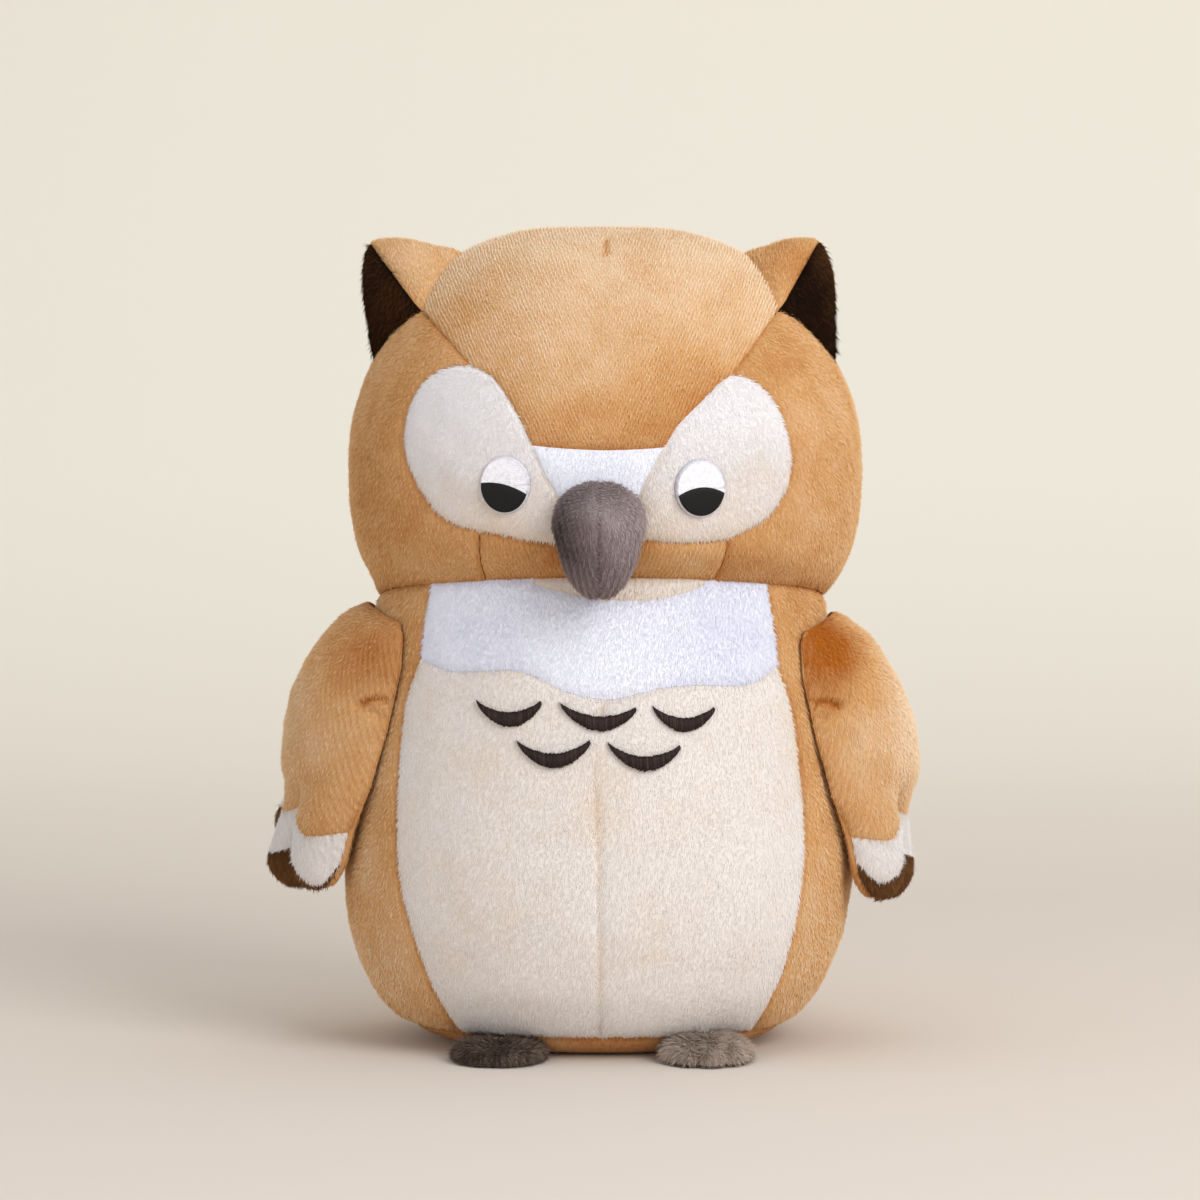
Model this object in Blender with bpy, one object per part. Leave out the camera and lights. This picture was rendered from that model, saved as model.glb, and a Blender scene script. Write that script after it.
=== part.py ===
"""Plush owl: a stuffed toy, cut and sewn from short-pile plush.

Metres, +Z up. The toy faces -Y and stands on z = 0, and its own left is +X.
Each sewn panel, felt disc, embroidered mark and filling is one closed solid. A stuffed form is
worked out first as a closed net of points. Its panels are the outer layer of that net, its filling
is the same net moved inwards by the cloth and a small gap, so the layers never touch.
"""
from math import cos, pi, radians, sin

import bpy
import numpy as np
from mathutils import Matrix, Vector

# Cloth and clearances
SKIN = 0.0020               # plush of the head and body, backing and pile
LIMB_SKIN = 0.0012          # plush of the wings, ears, beak and feet
FELT = 0.0010               # eye disc
STITCH = 0.0006             # satin stitch above the cloth
GAP = 0.0003                # between two pieces that touch
WING_CLEARANCE = 0.0006     # between a wing and the side that it lies on
OVERRUN = 0.030             # how far a cutter runs past what it cuts

# Body
BODY_HALF_WIDTH = 0.0845
BODY_DEPTH = 0.073          # from the middle to the front, or to the back
NECK_HEIGHT = 0.149
NECK_SLOPE = 0.10           # rise of the neck seam towards the front
BASE_SEAM = 0.0065          # height of the seam round the base
PLAN_POWER = 2.2            # roundness of a section seen from above: 2 is an ellipse

# Head
HEAD_HALF_WIDTH = 0.085
HEAD_DEPTH = 0.072
HEAD_HEIGHT = 0.1215        # neck seam to crown
HEAD_SEAM = 0.012           # how far behind the middle the front panels end

# Ears
EAR_BULGE = 0.0035
EAR_ROOT = 0.014            # how deep the ear's open end would reach before the head cuts it

# Beak
BEAK_HALF_WIDTH = 0.0147
BEAK_HALF_DEPTH = 0.0195
BEAK_HEIGHT = 0.0375
BEAK_TIP_HEIGHT = 0.1505
BEAK_REACH = 0.0765         # from the middle of the toy to the middle of the beak

# Eyes
EYE_RADIUS = 0.0083
EYE_OFFSET = 0.031
EYE_HEIGHT = 0.1862
LID_SLANT = 0.18            # fall of the eyelid's edge towards the beak
PUPIL_SHARE = 0.96
SHARP_DEGREES = 40

# Feet
FOOT_HALF_WIDTH = 0.0155
FOOT_HALF_LENGTH = 0.018
FOOT_HEIGHT = 0.0098
FOOT_SPREAD_SHARE = 0.744   # of the base's half width, from the middle to each foot
FOOT_OVERHANG = 0.0118      # from the edge of the base to the middle of a foot
FOOT_SEAM = 0.0028          # from the edge of the base to where the foot is sewn

# Wings
WING_TOP = 0.146
WING_LENGTH = 0.097
WING_THICKNESS = 0.0250
WING_FRONT = 0.040
WING_REAR = 0.036
WING_SHOULDER_DROP = 0.013
FEATHER_SCALLOP = 0.0065    # how far a feather's rounded end hangs below its sides
HINGE_LIFT = 0.0008         # of the shoulder seam's line over the wing's top edge

# Crescents
CRESCENT_LIFT = 0.0004      # clearance of the stitching over the belly's facets

# Height, width and depth of each section, as shares of the form's own sizes
HEAD_SECTION_SHARES = (
    (-0.08, 0.820, 0.810),
    (0.06, 0.925, 0.910),
    (0.15, 0.970, 0.960),
    (0.25, 0.993, 0.990),
    (0.36, 1.000, 1.000),
    (0.47, 0.985, 0.985),
    (0.57, 0.942, 0.940),
    (0.67, 0.873, 0.870),
    (0.76, 0.795, 0.785),
    (0.84, 0.706, 0.685),
    (0.905, 0.620, 0.585),
    (0.947, 0.530, 0.480),
    (0.974, 0.370, 0.330),
    (0.991, 0.185, 0.165),
)
BODY_SECTION_SHARES = (
    (0.000, 0.533, 0.550),
    (0.012, 0.640, 0.640),
    (0.035, 0.722, 0.715),
    (0.076, 0.834, 0.820),
    (0.143, 0.911, 0.915),
    (0.22, 0.965, 0.965),
    (0.31, 0.995, 0.995),
    (0.41, 1.000, 1.000),
    (0.53, 0.985, 0.985),
    (0.66, 0.955, 0.955),
    (0.78, 0.925, 0.920),
    (0.89, 0.902, 0.878),
    (0.97, 0.889, 0.842),
    (1.10, 0.865, 0.785),
)
BEAK_SECTION_SHARES = (
    (0.07, 0.48, 0.42),
    (0.22, 0.76, 0.72),
    (0.42, 0.95, 0.95),
    (0.62, 1.00, 1.00),
    (0.80, 0.84, 0.86),
    (0.93, 0.50, 0.52),
)
FOOT_SECTION_SHARES = (
    (0.00, 0.84, 0.84),
    (0.22, 0.97, 0.97),
    (0.50, 1.00, 1.00),
    (0.78, 0.84, 0.84),
    (0.94, 0.52, 0.52),
)

# Outlines seen from the front: across, as a share of the half width, and up, as a share of the height
FOREHEAD_SHARES = ((0.000, 0.420), (0.245, 0.412), (0.500, 0.605), (0.685, 0.767), (0.530, 0.947),
                   (0.530, 1.200))
EYE_PATCH_SHARES = ((0.54, 0.62), (0.65, 0.58), (0.72, 0.50), (0.745, 0.42), (0.735, 0.34),
                    (0.68, 0.265), (0.59, 0.20), (0.47, 0.178), (0.32, 0.165), (0.16, 0.160),
                    (0.07, 0.19), (0.07, 0.30), (0.235, 0.44), (0.42, 0.60))
BROW_SHARES = ((0.000, 0.215), (0.115, 0.215), (0.145, 0.305), (0.212, 0.354), (0.262, 0.445),
               (0.000, 0.460))
CHIN_WIDTH_SHARE = 0.500
CHIN_TOP_SHARE = 0.300
BELLY_SHARES = ((0.000, -0.060), (0.480, -0.060), (0.527, 0.047), (0.592, 0.094), (0.675, 0.175),
                (0.740, 0.290), (0.779, 0.400), (0.788, 0.507), (0.773, 0.650), (0.745, 0.780),
                (0.700, 0.900), (0.000, 0.900))
BIB_SHARES = ((0.000, 0.800), (0.112, 0.812), (0.200, 0.8275), (0.308, 0.8456), (0.450, 0.8456),
              (0.592, 0.849), (0.692, 0.8826), (0.672, 1.000), (0.650, 1.120), (0.000, 1.120))
COLLAR_SHARES = ((-0.275, 1.060), (-0.180, 1.022), (-0.040, 1.000), (0.110, 0.996), (0.260, 1.005),
                 (0.390, 1.030), (0.470, 1.060), (0.470, 1.120), (-0.275, 1.120))

# Ear corners: across, back and up, as shares of the head's half width, depth and height
EAR_TIP_SHARE = (0.885, -0.040, 0.963)
EAR_CORNER_SHARES = (
    (0.530, -0.060, 0.945),     # crown corner
    (0.690, -0.600, 0.765),     # front corner
    (0.900, -0.100, 0.620),     # side corner
    (0.700, 0.420, 0.800),      # back corner
)
EAR_ROW_SHARES = (0.18, 0.42, 0.68, 0.90)
HEAD_HEART_SHARE = 0.5      # height of the point that the ear's open end runs towards
EAR_TIP_ROUND_SHARE = 0.06
EAR_FACE_STEPS = 3

# Wing rows from the top to the feathers, thickness down the wing, and its front and rear edges
WING_ROW_SHARES = (0.0, 0.09, 0.24, 0.44, 0.70, 1.0)
WING_THICKNESS_SHARES = ((0.00, 0.00), (0.05, 0.36), (0.12, 0.66), (0.22, 0.88), (0.36, 0.99),
                         (0.55, 1.00), (0.80, 0.93), (0.92, 0.86), (1.00, 0.74))
WING_EDGE_SHARES = ((0.0, 0.86), (0.2, 1.00), (0.5, 0.97), (0.8, 0.83), (1.0, 0.70))
WING_EDGE_POWER = 0.6       # how quickly the cushion rises from its edge
WING_SHOULDER_POWER = 2.5   # how square the shoulder is
FEATHER_END_SHARES = (      # caramel, white and brown end of each feather, down the wing
    (0.789, 0.915, 0.985),
    (0.726, 0.868, 1.000),
    (0.608, 0.753, 0.918),
)
FEATHER_STEPS = 4
CLEFT_SHARE = 0.62          # thickness left in the cleft between two feathers

# Crescents: across and up for the middle of the horns, as shares of the body, and their own sizes
CRESCENT_PLACE_SHARES = ((-0.350, 0.786), (0.006, 0.784), (0.325, 0.784), (-0.178, 0.700),
                         (0.165, 0.693))
CRESCENT_HALF_SPAN = 0.0106
CRESCENT_SAG = 0.0083
CRESCENT_HOLLOW = 0.0040
CRESCENT_STEPS = 8

# Steps off a net's faces and off its seams
STEP_DAMPING = 0.02
SEAM_CUTOFF = 0.2

# Counts
FORM_SIDES = 24
BEAK_SIDES = 16
FOOT_SIDES = 16
DISC_SIDES = 24
OUTLINE_STEPS = 2

# Colour and roughness of each cloth
CLOTHS = {
    "caramel_plush": ((0.60, 0.36, 0.155), 0.9),
    "cream_plush": ((0.80, 0.73, 0.63), 0.9),
    "white_plush": ((0.86, 0.86, 0.92), 0.9),
    "brown_plush": ((0.045, 0.020, 0.008), 0.9),
    "tip_plush": ((0.19, 0.085, 0.028), 0.9),
    "grey_plush": ((0.165, 0.125, 0.120), 0.9),
    "white_felt": ((0.80, 0.80, 0.86), 0.9),
    "black_thread": ((0.012, 0.012, 0.012), 0.5),
    "brown_thread": ((0.050, 0.025, 0.022), 0.5),
    "fibre_filling": ((0.85, 0.85, 0.83), 1.0),
}


def make_cloths():
    """One Principled material for each cloth."""
    made = {}
    for name, (colour, roughness) in CLOTHS.items():
        cloth = bpy.data.materials.new(name)
        cloth.use_nodes = True
        shader = cloth.node_tree.nodes["Principled BSDF"]
        shader.inputs["Base Color"].default_value = (*colour, 1.0)
        shader.inputs["Roughness"].default_value = roughness
        shader.inputs["Metallic"].default_value = 0.0
        cloth.diffuse_color = (*colour, 1.0)
        made[name] = cloth
    return made


def add_object(name, points, faces, cloth=None):
    """An object from points and faces. Without a cloth it is a cutter, left out of the part."""
    mesh = bpy.data.meshes.new(name)
    mesh.from_pydata([tuple(p) for p in points], [], faces)
    mesh.update()
    obj = bpy.data.objects.new(name, mesh)
    bpy.context.collection.objects.link(obj)
    if cloth is None:
        obj.hide_render = True
        obj.display_type = "WIRE"
    else:
        mesh.materials.append(cloth)
        mesh.shade_smooth()
    return obj


def cut(obj, keep=(), remove=()):
    """Boolean modifiers: what lies in every solid of keep and in none of remove."""
    for operation, cutters in (("INTERSECT", keep), ("DIFFERENCE", remove)):
        for cutter in cutters:
            step = obj.modifiers.new(operation.title(), "BOOLEAN")
            step.operation = operation
            step.solver = "EXACT"
            step.object = cutter
    return obj


# Closed nets of points


def unit(vector):
    return vector / np.linalg.norm(vector)


def corner_planes(points, faces):
    """For each point, the outward normal and the angle of every triangle corner that meets there."""
    planes = [[] for _ in points]
    for face in faces:
        corners = points[list(face)]
        normal = unit(np.cross(corners[1] - corners[0], corners[2] - corners[0]))
        for turn, corner in enumerate(face):
            ahead, behind = corners[turn - 2] - corners[turn], corners[turn - 1] - corners[turn]
            angle = np.arccos(np.clip(unit(ahead) @ unit(behind), -1.0, 1.0))
            planes[corner].append((normal, angle))
    return planes


def outward_steps(points, faces):
    """The step at each point that moves every triangle there outwards by one."""
    steps = []
    for planes in corner_planes(points, faces):
        normals = np.array([normal for normal, _ in planes])
        weights = np.array([angle for _, angle in planes])
        spread = (normals * weights[:, None]).T @ normals + np.eye(3) * weights.sum() * STEP_DAMPING
        steps.append(np.linalg.solve(spread, weights @ normals))
    return np.array(steps)


def split_outwards(points, face):
    """A face as triangles. A bent square folds along the diagonal that stands out."""
    if len(face) == 3:
        return [tuple(face)]
    a, b, c, d = face
    out = np.cross(points[b] - points[a], points[c] - points[a])
    if out @ (points[d] - points[a]) > 0:
        return [(a, b, d), (b, c, d)]
    return [(a, b, c), (a, c, d)]


class Form:
    """A closed net: points, triangles that point outwards, and the panel that each belongs to."""

    def __init__(self, points, faces, panels):
        self.points = np.array(points, dtype=float)
        self.faces = []
        self.panels = []
        for face, key in zip(faces, panels):
            for triangle in split_outwards(self.points, face):
                self.faces.append(triangle)
                self.panels.append(key)
        self.steps = outward_steps(self.points, self.faces)

    def moved(self, distance):
        """The points, moved outwards by a distance, or inwards by a negative one."""
        return self.points + self.steps * distance

    def mirrored(self):
        """The same form on the other side of the toy."""
        points = self.points * (-1, 1, 1)
        return Form(points, [tuple(reversed(face)) for face in self.faces], self.panels)


def ring_form(rings, bottom, top, panel_of):
    """A net of rings from the bottom up, each counter-clockwise seen from above, with closed ends."""
    rows, sides, _ = rings.shape
    points = np.vstack([[bottom], rings.reshape(-1, 3), [top]])
    first, last = 0, len(points) - 1
    faces = []
    panels = []
    for side in range(sides):
        beside = (side + 1) % sides
        faces.append((first, 1 + beside, 1 + side))
        panels.append(panel_of(-1, side))
        for row in range(rows - 1):
            low, high = 1 + row * sides, 1 + (row + 1) * sides
            faces.append((low + side, low + beside, high + beside, high + side))
            panels.append(panel_of(row, side))
        base = 1 + (rows - 1) * sides
        faces.append((base + side, base + beside, last))
        panels.append(panel_of(rows - 1, side))
    return Form(points, faces, panels)


def plan_ring(half_width, depth, sides):
    """A rounded section seen from above, starting at the front."""
    turns = -pi / 2 + 2 * pi * np.arange(sides) / sides
    across, back = np.cos(turns), np.sin(turns)
    x = half_width * np.sign(across) * np.abs(across) ** (2 / PLAN_POWER)
    y = depth * np.sign(back) * np.abs(back) ** (2 / PLAN_POWER)
    return x, y


def stacked_form(shares, half_width, depth, height, base, centre, sides, panel_of, open_top=False):
    """Sections stacked from the base up, closed by a flat face below and a crown or flat above."""
    rings = []
    for up, wide, deep in shares:
        x, y = plan_ring(wide * half_width, deep * depth, sides)
        z = np.full(sides, base + up * height)
        rings.append(np.column_stack([x + centre[0], y + centre[1], z]))
    rings = np.array(rings)
    bottom = (centre[0], centre[1], rings[0, 0, 2])
    top_height = rings[-1, 0, 2] if open_top else base + height
    return ring_form(rings, bottom, (centre[0], centre[1], top_height), panel_of)


def filling(name, form, skin, cloth):
    """The stuffing under a form's panels."""
    return add_object(name, form.moved(-skin - GAP), form.faces, cloth)


def solid(name, form, distance=0.0):
    """A cutter with the outer shape of a form, grown by a distance."""
    return add_object(name, form.moved(distance), form.faces)


def hollow(name, form, skin, cloth):
    """The whole skin of a form, to be cut into one panel."""
    outer, inner = form.moved(0.0), form.moved(-skin)
    inside = [tuple(len(outer) + corner for corner in reversed(face)) for face in form.faces]
    return add_object(name, np.vstack([outer, inner]), form.faces + inside, cloth)


def drawn_in(points, steps, faces, rim, distance):
    """How far each rim point moves along its own panel to leave the seams beside it by a distance."""
    ahead, behind = dict(rim), {b: a for a, b in rim}
    planes = corner_planes(points, faces)
    moves = np.zeros_like(points)
    for corner in ahead:
        out = unit(steps[corner])
        seams = [unit(np.cross(out, points[ahead[corner]] - points[corner])),
                 unit(np.cross(out, points[corner] - points[behind[corner]]))]
        own = unit(sum(normal * angle for normal, angle in planes[corner]))
        moves[corner] = np.linalg.lstsq(np.array(seams + [own]), np.array([distance, distance, 0.0]),
                                        rcond=SEAM_CUTOFF)[0]
    return moves


def panel(name, form, key, skin, cloth):
    """One sewn panel of a form: the faces with this key, with thickness, half a gap off its seams."""
    faces = [face for face, own in zip(form.faces, form.panels) if own == key]
    used = sorted({corner for face in faces for corner in face})
    place = {corner: index for index, corner in enumerate(used)}
    faces = [tuple(place[corner] for corner in face) for face in faces]
    directed = {(face[i - 1], face[i]) for face in faces for i in range(len(face))}
    rim = sorted((a, b) for a, b in directed if (b, a) not in directed)
    moves = drawn_in(form.points[used], form.steps[used], faces, rim, GAP / 2)
    count = len(used)
    inside = [tuple(count + corner for corner in reversed(face)) for face in faces]
    sides = []
    for a, b in rim:
        if a < b:
            sides += [(b, a, count + b), (a, count + a, count + b)]
        else:
            sides += [(b, a, count + a), (b, count + a, count + b)]
    layers = [form.points[used] + moves, form.moved(-skin)[used] + moves]
    return add_object(name, np.vstack(layers), faces + inside + sides, cloth)


# Outlines and cutters


def smooth_outline(points, steps=OUTLINE_STEPS):
    """A closed curve through the points, each stretch a cubic that keeps its neighbours' slope."""
    points = np.array(points, dtype=float)
    before, after, beyond = np.roll(points, 1, 0), np.roll(points, -1, 0), np.roll(points, -2, 0)
    curve = []
    for step in range(steps):
        t = step / steps
        curve.append(0.5 * (2 * points + (after - before) * t
                            + (2 * before - 5 * points + 4 * after - beyond) * t * t
                            + (3 * points - before - 3 * after + beyond) * t ** 3))
    return np.stack(curve, axis=1).reshape(-1, 2)


def grown_outline(outline, distance):
    """The outline moved outwards by a distance."""
    ahead = np.roll(outline, -1, 0) - outline
    behind = outline - np.roll(outline, 1, 0)
    area = np.sum(outline[:, 0] * np.roll(outline[:, 1], -1) - np.roll(outline[:, 0], -1) * outline[:, 1])
    turn = np.sign(area)
    sides = [np.column_stack([run[:, 1], -run[:, 0]]) for run in (ahead, behind)]
    normals = sum(side / np.linalg.norm(side, axis=1)[:, None] for side in sides)
    normals /= np.linalg.norm(normals, axis=1)[:, None]
    return outline + turn * distance * normals


def both_sides(half):
    """A closed outline from its right half, which runs from the middle line back to it."""
    left = [(-x, z) for x, z in reversed(half) if x > 0]
    return list(half) + left


def prism(name, outline, front, back):
    """A cutter: an outline seen from the front, run from front to back."""
    count = len(outline)
    area = np.sum(outline[:, 0] * np.roll(outline[:, 1], -1) - np.roll(outline[:, 0], -1) * outline[:, 1])
    if area < 0:
        outline = outline[::-1]
    points = [(x, front, z) for x, z in outline] + [(x, back, z) for x, z in outline]
    sides = [(i, count + i, count + (i + 1) % count, (i + 1) % count) for i in range(count)]
    return add_object(name, points, [tuple(range(count)), tuple(range(2 * count - 1, count - 1, -1))] + sides)


def block(name, low, high, cloth=None):
    """A box between two corners."""
    (x0, y0, z0), (x1, y1, z1) = low, high
    points = [(x, y, z) for z in (z0, z1) for y in (y0, y1) for x in (x0, x1)]
    faces = [(0, 2, 3, 1), (4, 5, 7, 6), (0, 1, 5, 4), (2, 6, 7, 3), (0, 4, 6, 2), (1, 3, 7, 5)]
    return add_object(name, points, faces, cloth)


def above_neck(name, lift, up):
    """A slanted box whose lower or upper face is the neck seam, moved up by a lift."""
    wide = BODY_HALF_WIDTH + OVERRUN
    tall = NECK_HEIGHT + HEAD_HEIGHT
    rise = NECK_SLOPE * wide
    far = NECK_HEIGHT + tall if up else NECK_HEIGHT - tall
    points = []
    for y, seam in ((-wide, NECK_HEIGHT + lift + rise), (wide, NECK_HEIGHT + lift - rise)):
        low, high = (seam, far) if up else (far, seam)
        points += [(-wide, y, low), (wide, y, low), (-wide, y, high), (wide, y, high)]
    faces = [(0, 1, 3, 2), (4, 6, 7, 5), (0, 4, 5, 1), (2, 3, 7, 6), (0, 2, 6, 4), (1, 5, 7, 3)]
    return add_object(name, points, faces)


# Surfaces that small pieces lie on


def section_at(shares, half_width, depth, height, base, z):
    """Half width and depth of a stacked form at a height."""
    table = np.array(shares)
    up = (z - base) / height
    wide = np.interp(up, table[:, 0], table[:, 1]) * half_width
    deep = np.interp(up, table[:, 0], table[:, 2]) * depth
    return wide, deep


def body_section(z):
    return section_at(BODY_SECTION_SHARES, BODY_HALF_WIDTH, BODY_DEPTH, NECK_HEIGHT, 0.0, z)


def head_section(z):
    return section_at(HEAD_SECTION_SHARES, HEAD_HALF_WIDTH, HEAD_DEPTH, HEAD_HEIGHT, NECK_HEIGHT, z)


def front_of(section, x, z):
    """How far forward a form's surface stands, as a negative y."""
    wide, deep = section(z)
    return -deep * (1 - np.minimum(np.abs(x / wide), 1.0) ** PLAN_POWER) ** (1 / PLAN_POWER)


def side_of(section, y, z):
    """How far out a form's side stands."""
    wide, deep = section(z)
    return wide * (1 - np.minimum(np.abs(y / deep), 1.0) ** PLAN_POWER) ** (1 / PLAN_POWER)


def seat_on_front(section, x, z):
    """A frame on the surface: local Z points out of it, local Y up along it."""
    small = GAP
    here = Vector((x, float(front_of(section, x, z)), z))
    across = Vector((x + small, float(front_of(section, x + small, z)), z)) - here
    up = Vector((x, float(front_of(section, x, z + small)), z + small)) - here
    out = across.cross(up).normalized()
    up = (up - out * up.dot(out)).normalized()
    turn = Matrix((up.cross(out), up, out)).transposed()
    return Matrix.Translation(here) @ turn.to_4x4()


# Head and body


def head_form():
    return stacked_form(HEAD_SECTION_SHARES, HEAD_HALF_WIDTH, HEAD_DEPTH, HEAD_HEIGHT, NECK_HEIGHT,
                        (0.0, 0.0), FORM_SIDES, lambda row, side: "head")


def body_form():
    return stacked_form(BODY_SECTION_SHARES, BODY_HALF_WIDTH, BODY_DEPTH, NECK_HEIGHT, 0.0,
                        (0.0, 0.0), FORM_SIDES, lambda row, side: "body", open_top=True)


def head_outline(shares, mirror=False, smooth=True):
    points = [(x * HEAD_HALF_WIDTH, NECK_HEIGHT + z * HEAD_HEIGHT) for x, z in shares]
    if mirror:
        points = both_sides(points)
    return smooth_outline(points) if smooth else np.array(points)


def body_outline(shares, mirror=False):
    points = [(x * BODY_HALF_WIDTH, z * NECK_HEIGHT) for x, z in shares]
    return np.array(both_sides(points) if mirror else points)


def front_cutters(name, outline, back=0.0):
    """The same outline twice: drawn in by half a gap to keep, and let out by it to remove."""
    front = -BODY_DEPTH - OVERRUN
    kept = prism(f"{name}_keep", grown_outline(outline, -GAP / 2), front, back - GAP / 2)
    cleared = prism(f"{name}_clear", grown_outline(outline, GAP / 2), front, back + GAP / 2)
    return kept, cleared


def half_space(name, side, gap):
    """Everything on one side of the middle plane."""
    wide = BODY_HALF_WIDTH + OVERRUN
    tall = NECK_HEIGHT + HEAD_HEIGHT + OVERRUN
    near, far = sorted((side * gap, side * wide))
    return block(name, (near, -wide, -OVERRUN), (far, wide, tall))


def make_head(cloths):
    """Filling and panels of the head, cut from one skin."""
    form = head_form()
    above = above_neck("head_side_of_neck", GAP / 2, True)
    cut(filling("head_stuffing", form, SKIN, cloths["fibre_filling"]), keep=[above])

    wide = HEAD_HALF_WIDTH + OVERRUN
    tall = NECK_HEIGHT + HEAD_HEIGHT + OVERRUN
    low = NECK_HEIGHT - OVERRUN
    ahead = block("head_front_half", (-wide, -wide, low), (wide, HEAD_SEAM - GAP / 2, tall))
    behind = block("head_back_half", (-wide, HEAD_SEAM + GAP / 2, low), (wide, wide, tall))
    sides = {"left": half_space("left_half", 1, GAP / 2), "right": half_space("right_half", -1, GAP / 2)}

    forehead = front_cutters("forehead", head_outline(FOREHEAD_SHARES, mirror=True, smooth=False),
                             HEAD_SEAM)
    brow = front_cutters("brow", head_outline(BROW_SHARES, mirror=True, smooth=False))
    eye_outline = head_outline(EYE_PATCH_SHARES)
    eyes = {"left": front_cutters("left_eye", eye_outline),
            "right": front_cutters("right_eye", (eye_outline * (-1, 1))[::-1])}
    chin_half = CHIN_WIDTH_SHARE * HEAD_HALF_WIDTH
    chin_top = NECK_HEIGHT + CHIN_TOP_SHARE * HEAD_HEIGHT
    chin = block("chin_keep", (-chin_half + GAP / 2, -wide, low), (chin_half - GAP / 2, 0.0, chin_top))
    past_chin = {"left": block("left_past_chin", (chin_half + GAP / 2, -wide, low), (wide, wide, tall)),
                 "right": block("right_past_chin", (-wide, -wide, low), (-chin_half - GAP / 2, wide, tall))}

    caramel, cream = cloths["caramel_plush"], cloths["cream_plush"]
    cut(hollow("forehead_panel", form, SKIN, caramel), keep=[forehead[0]])
    cut(hollow("brow_patch", form, SKIN, cloths["white_plush"]), keep=[brow[0]], remove=[forehead[1]])
    cut(hollow("chin_panel", form, SKIN, caramel), keep=[chin, above],
        remove=[eyes["left"][1], eyes["right"][1], brow[1]])
    for side in ("left", "right"):
        cut(hollow(f"{side}_eye_patch", form, SKIN, cream), keep=[eyes[side][0], sides[side]],
            remove=[forehead[1], brow[1]])
        cut(hollow(f"{side}_cheek_panel", form, SKIN, caramel), keep=[past_chin[side], ahead, above],
            remove=[forehead[1], eyes[side][1]])
        cut(hollow(f"{side}_head_back_panel", form, SKIN, caramel), keep=[behind, sides[side], above])
    return solid("head_grown", form, GAP)


def make_body(cloths):
    """Filling and panels of the body, cut from one skin."""
    form = body_form()
    below = above_neck("body_side_of_neck", -GAP / 2, False)
    cut(filling("body_stuffing", form, SKIN, cloths["fibre_filling"]), keep=[below])

    wide = BODY_HALF_WIDTH + OVERRUN
    tall = NECK_HEIGHT + OVERRUN
    over_base = block("over_base_seam", (-wide, -wide, BASE_SEAM + GAP / 2), (wide, wide, tall))
    under_base = block("under_base_seam", (-wide, -wide, -OVERRUN), (wide, wide, BASE_SEAM - GAP / 2))
    sides = {"left": bpy.data.objects["left_half"], "right": bpy.data.objects["right_half"]}
    belly = front_cutters("belly", body_outline(BELLY_SHARES, mirror=True))
    bib = front_cutters("bib", body_outline(BIB_SHARES, mirror=True))
    collar = front_cutters("collar", body_outline(COLLAR_SHARES))

    caramel = cloths["caramel_plush"]
    cut(hollow("base_panel", form, SKIN, caramel), keep=[under_base])
    cut(hollow("bib_panel", form, SKIN, cloths["white_plush"]), keep=[bib[0], below], remove=[collar[1]])
    cut(hollow("collar_panel", form, SKIN, cloths["cream_plush"]), keep=[collar[0], below])
    for side in ("left", "right"):
        cut(hollow(f"{side}_belly_panel", form, SKIN, cloths["cream_plush"]),
            keep=[belly[0], sides[side], over_base], remove=[bib[1]])
        cut(hollow(f"{side}_side_panel", form, SKIN, caramel), keep=[sides[side], over_base, below],
            remove=[belly[1], bib[1]])
    return solid("body_grown", form, GAP)


# Ears, beak, eyes and feet


def ear_form():
    """A hollow pyramid with swelling faces. Its wide end runs on into the head, which cuts it."""
    scale = np.array((HEAD_HALF_WIDTH, HEAD_DEPTH, HEAD_HEIGHT))
    base = np.array((0.0, 0.0, NECK_HEIGHT))
    tip = np.array(EAR_TIP_SHARE) * scale + base
    corners = np.array(EAR_CORNER_SHARES) * scale + base
    middle = corners.mean(axis=0)
    loop = []
    for here, there in zip(corners, np.roll(corners, -1, axis=0)):
        for step in range(EAR_FACE_STEPS):
            loop.append(here + (there - here) * step / EAR_FACE_STEPS)
    loop = np.array(loop)
    outwards = loop - middle
    along = (middle - tip) / np.linalg.norm(middle - tip)
    outwards -= np.outer(outwards @ along, along)
    outwards /= np.linalg.norm(outwards, axis=1)[:, None]
    heart = base + scale * (0.0, 0.0, HEAD_HEART_SHARE)
    rootwards = (heart - loop) / np.linalg.norm(heart - loop, axis=1)[:, None]
    rings = [loop + rootwards * EAR_ROOT]
    for share in reversed(EAR_ROW_SHARES):
        swell = EAR_BULGE * sin(pi * share)
        rings.append(tip + (loop - tip) * share + outwards * swell)
    rings = np.array(rings)
    inner_end = rings[0].mean(axis=0)
    outer_end = tip + (middle - tip) * EAR_TIP_ROUND_SHARE
    front_sides = range(EAR_FACE_STEPS, 2 * EAR_FACE_STEPS)

    def panel_of(row, side):
        if row < 0:
            return "open end"
        return "front" if side in front_sides else "cover"

    return ring_form(rings, inner_end, outer_end, panel_of)


def make_ears(cloths, head_grown):
    """Dark front, caramel cover and filling of each ear, seated on the head."""
    own = ear_form()
    for side, form in (("left", own), ("right", own.mirrored())):
        made = [panel(f"{side}_ear_front", form, "front", LIMB_SKIN, cloths["brown_plush"]),
                panel(f"{side}_ear_cover", form, "cover", LIMB_SKIN, cloths["caramel_plush"]),
                filling(f"{side}_ear_stuffing", form, LIMB_SKIN, cloths["fibre_filling"])]
        for obj in made:
            cut(obj, remove=[head_grown])


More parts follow.
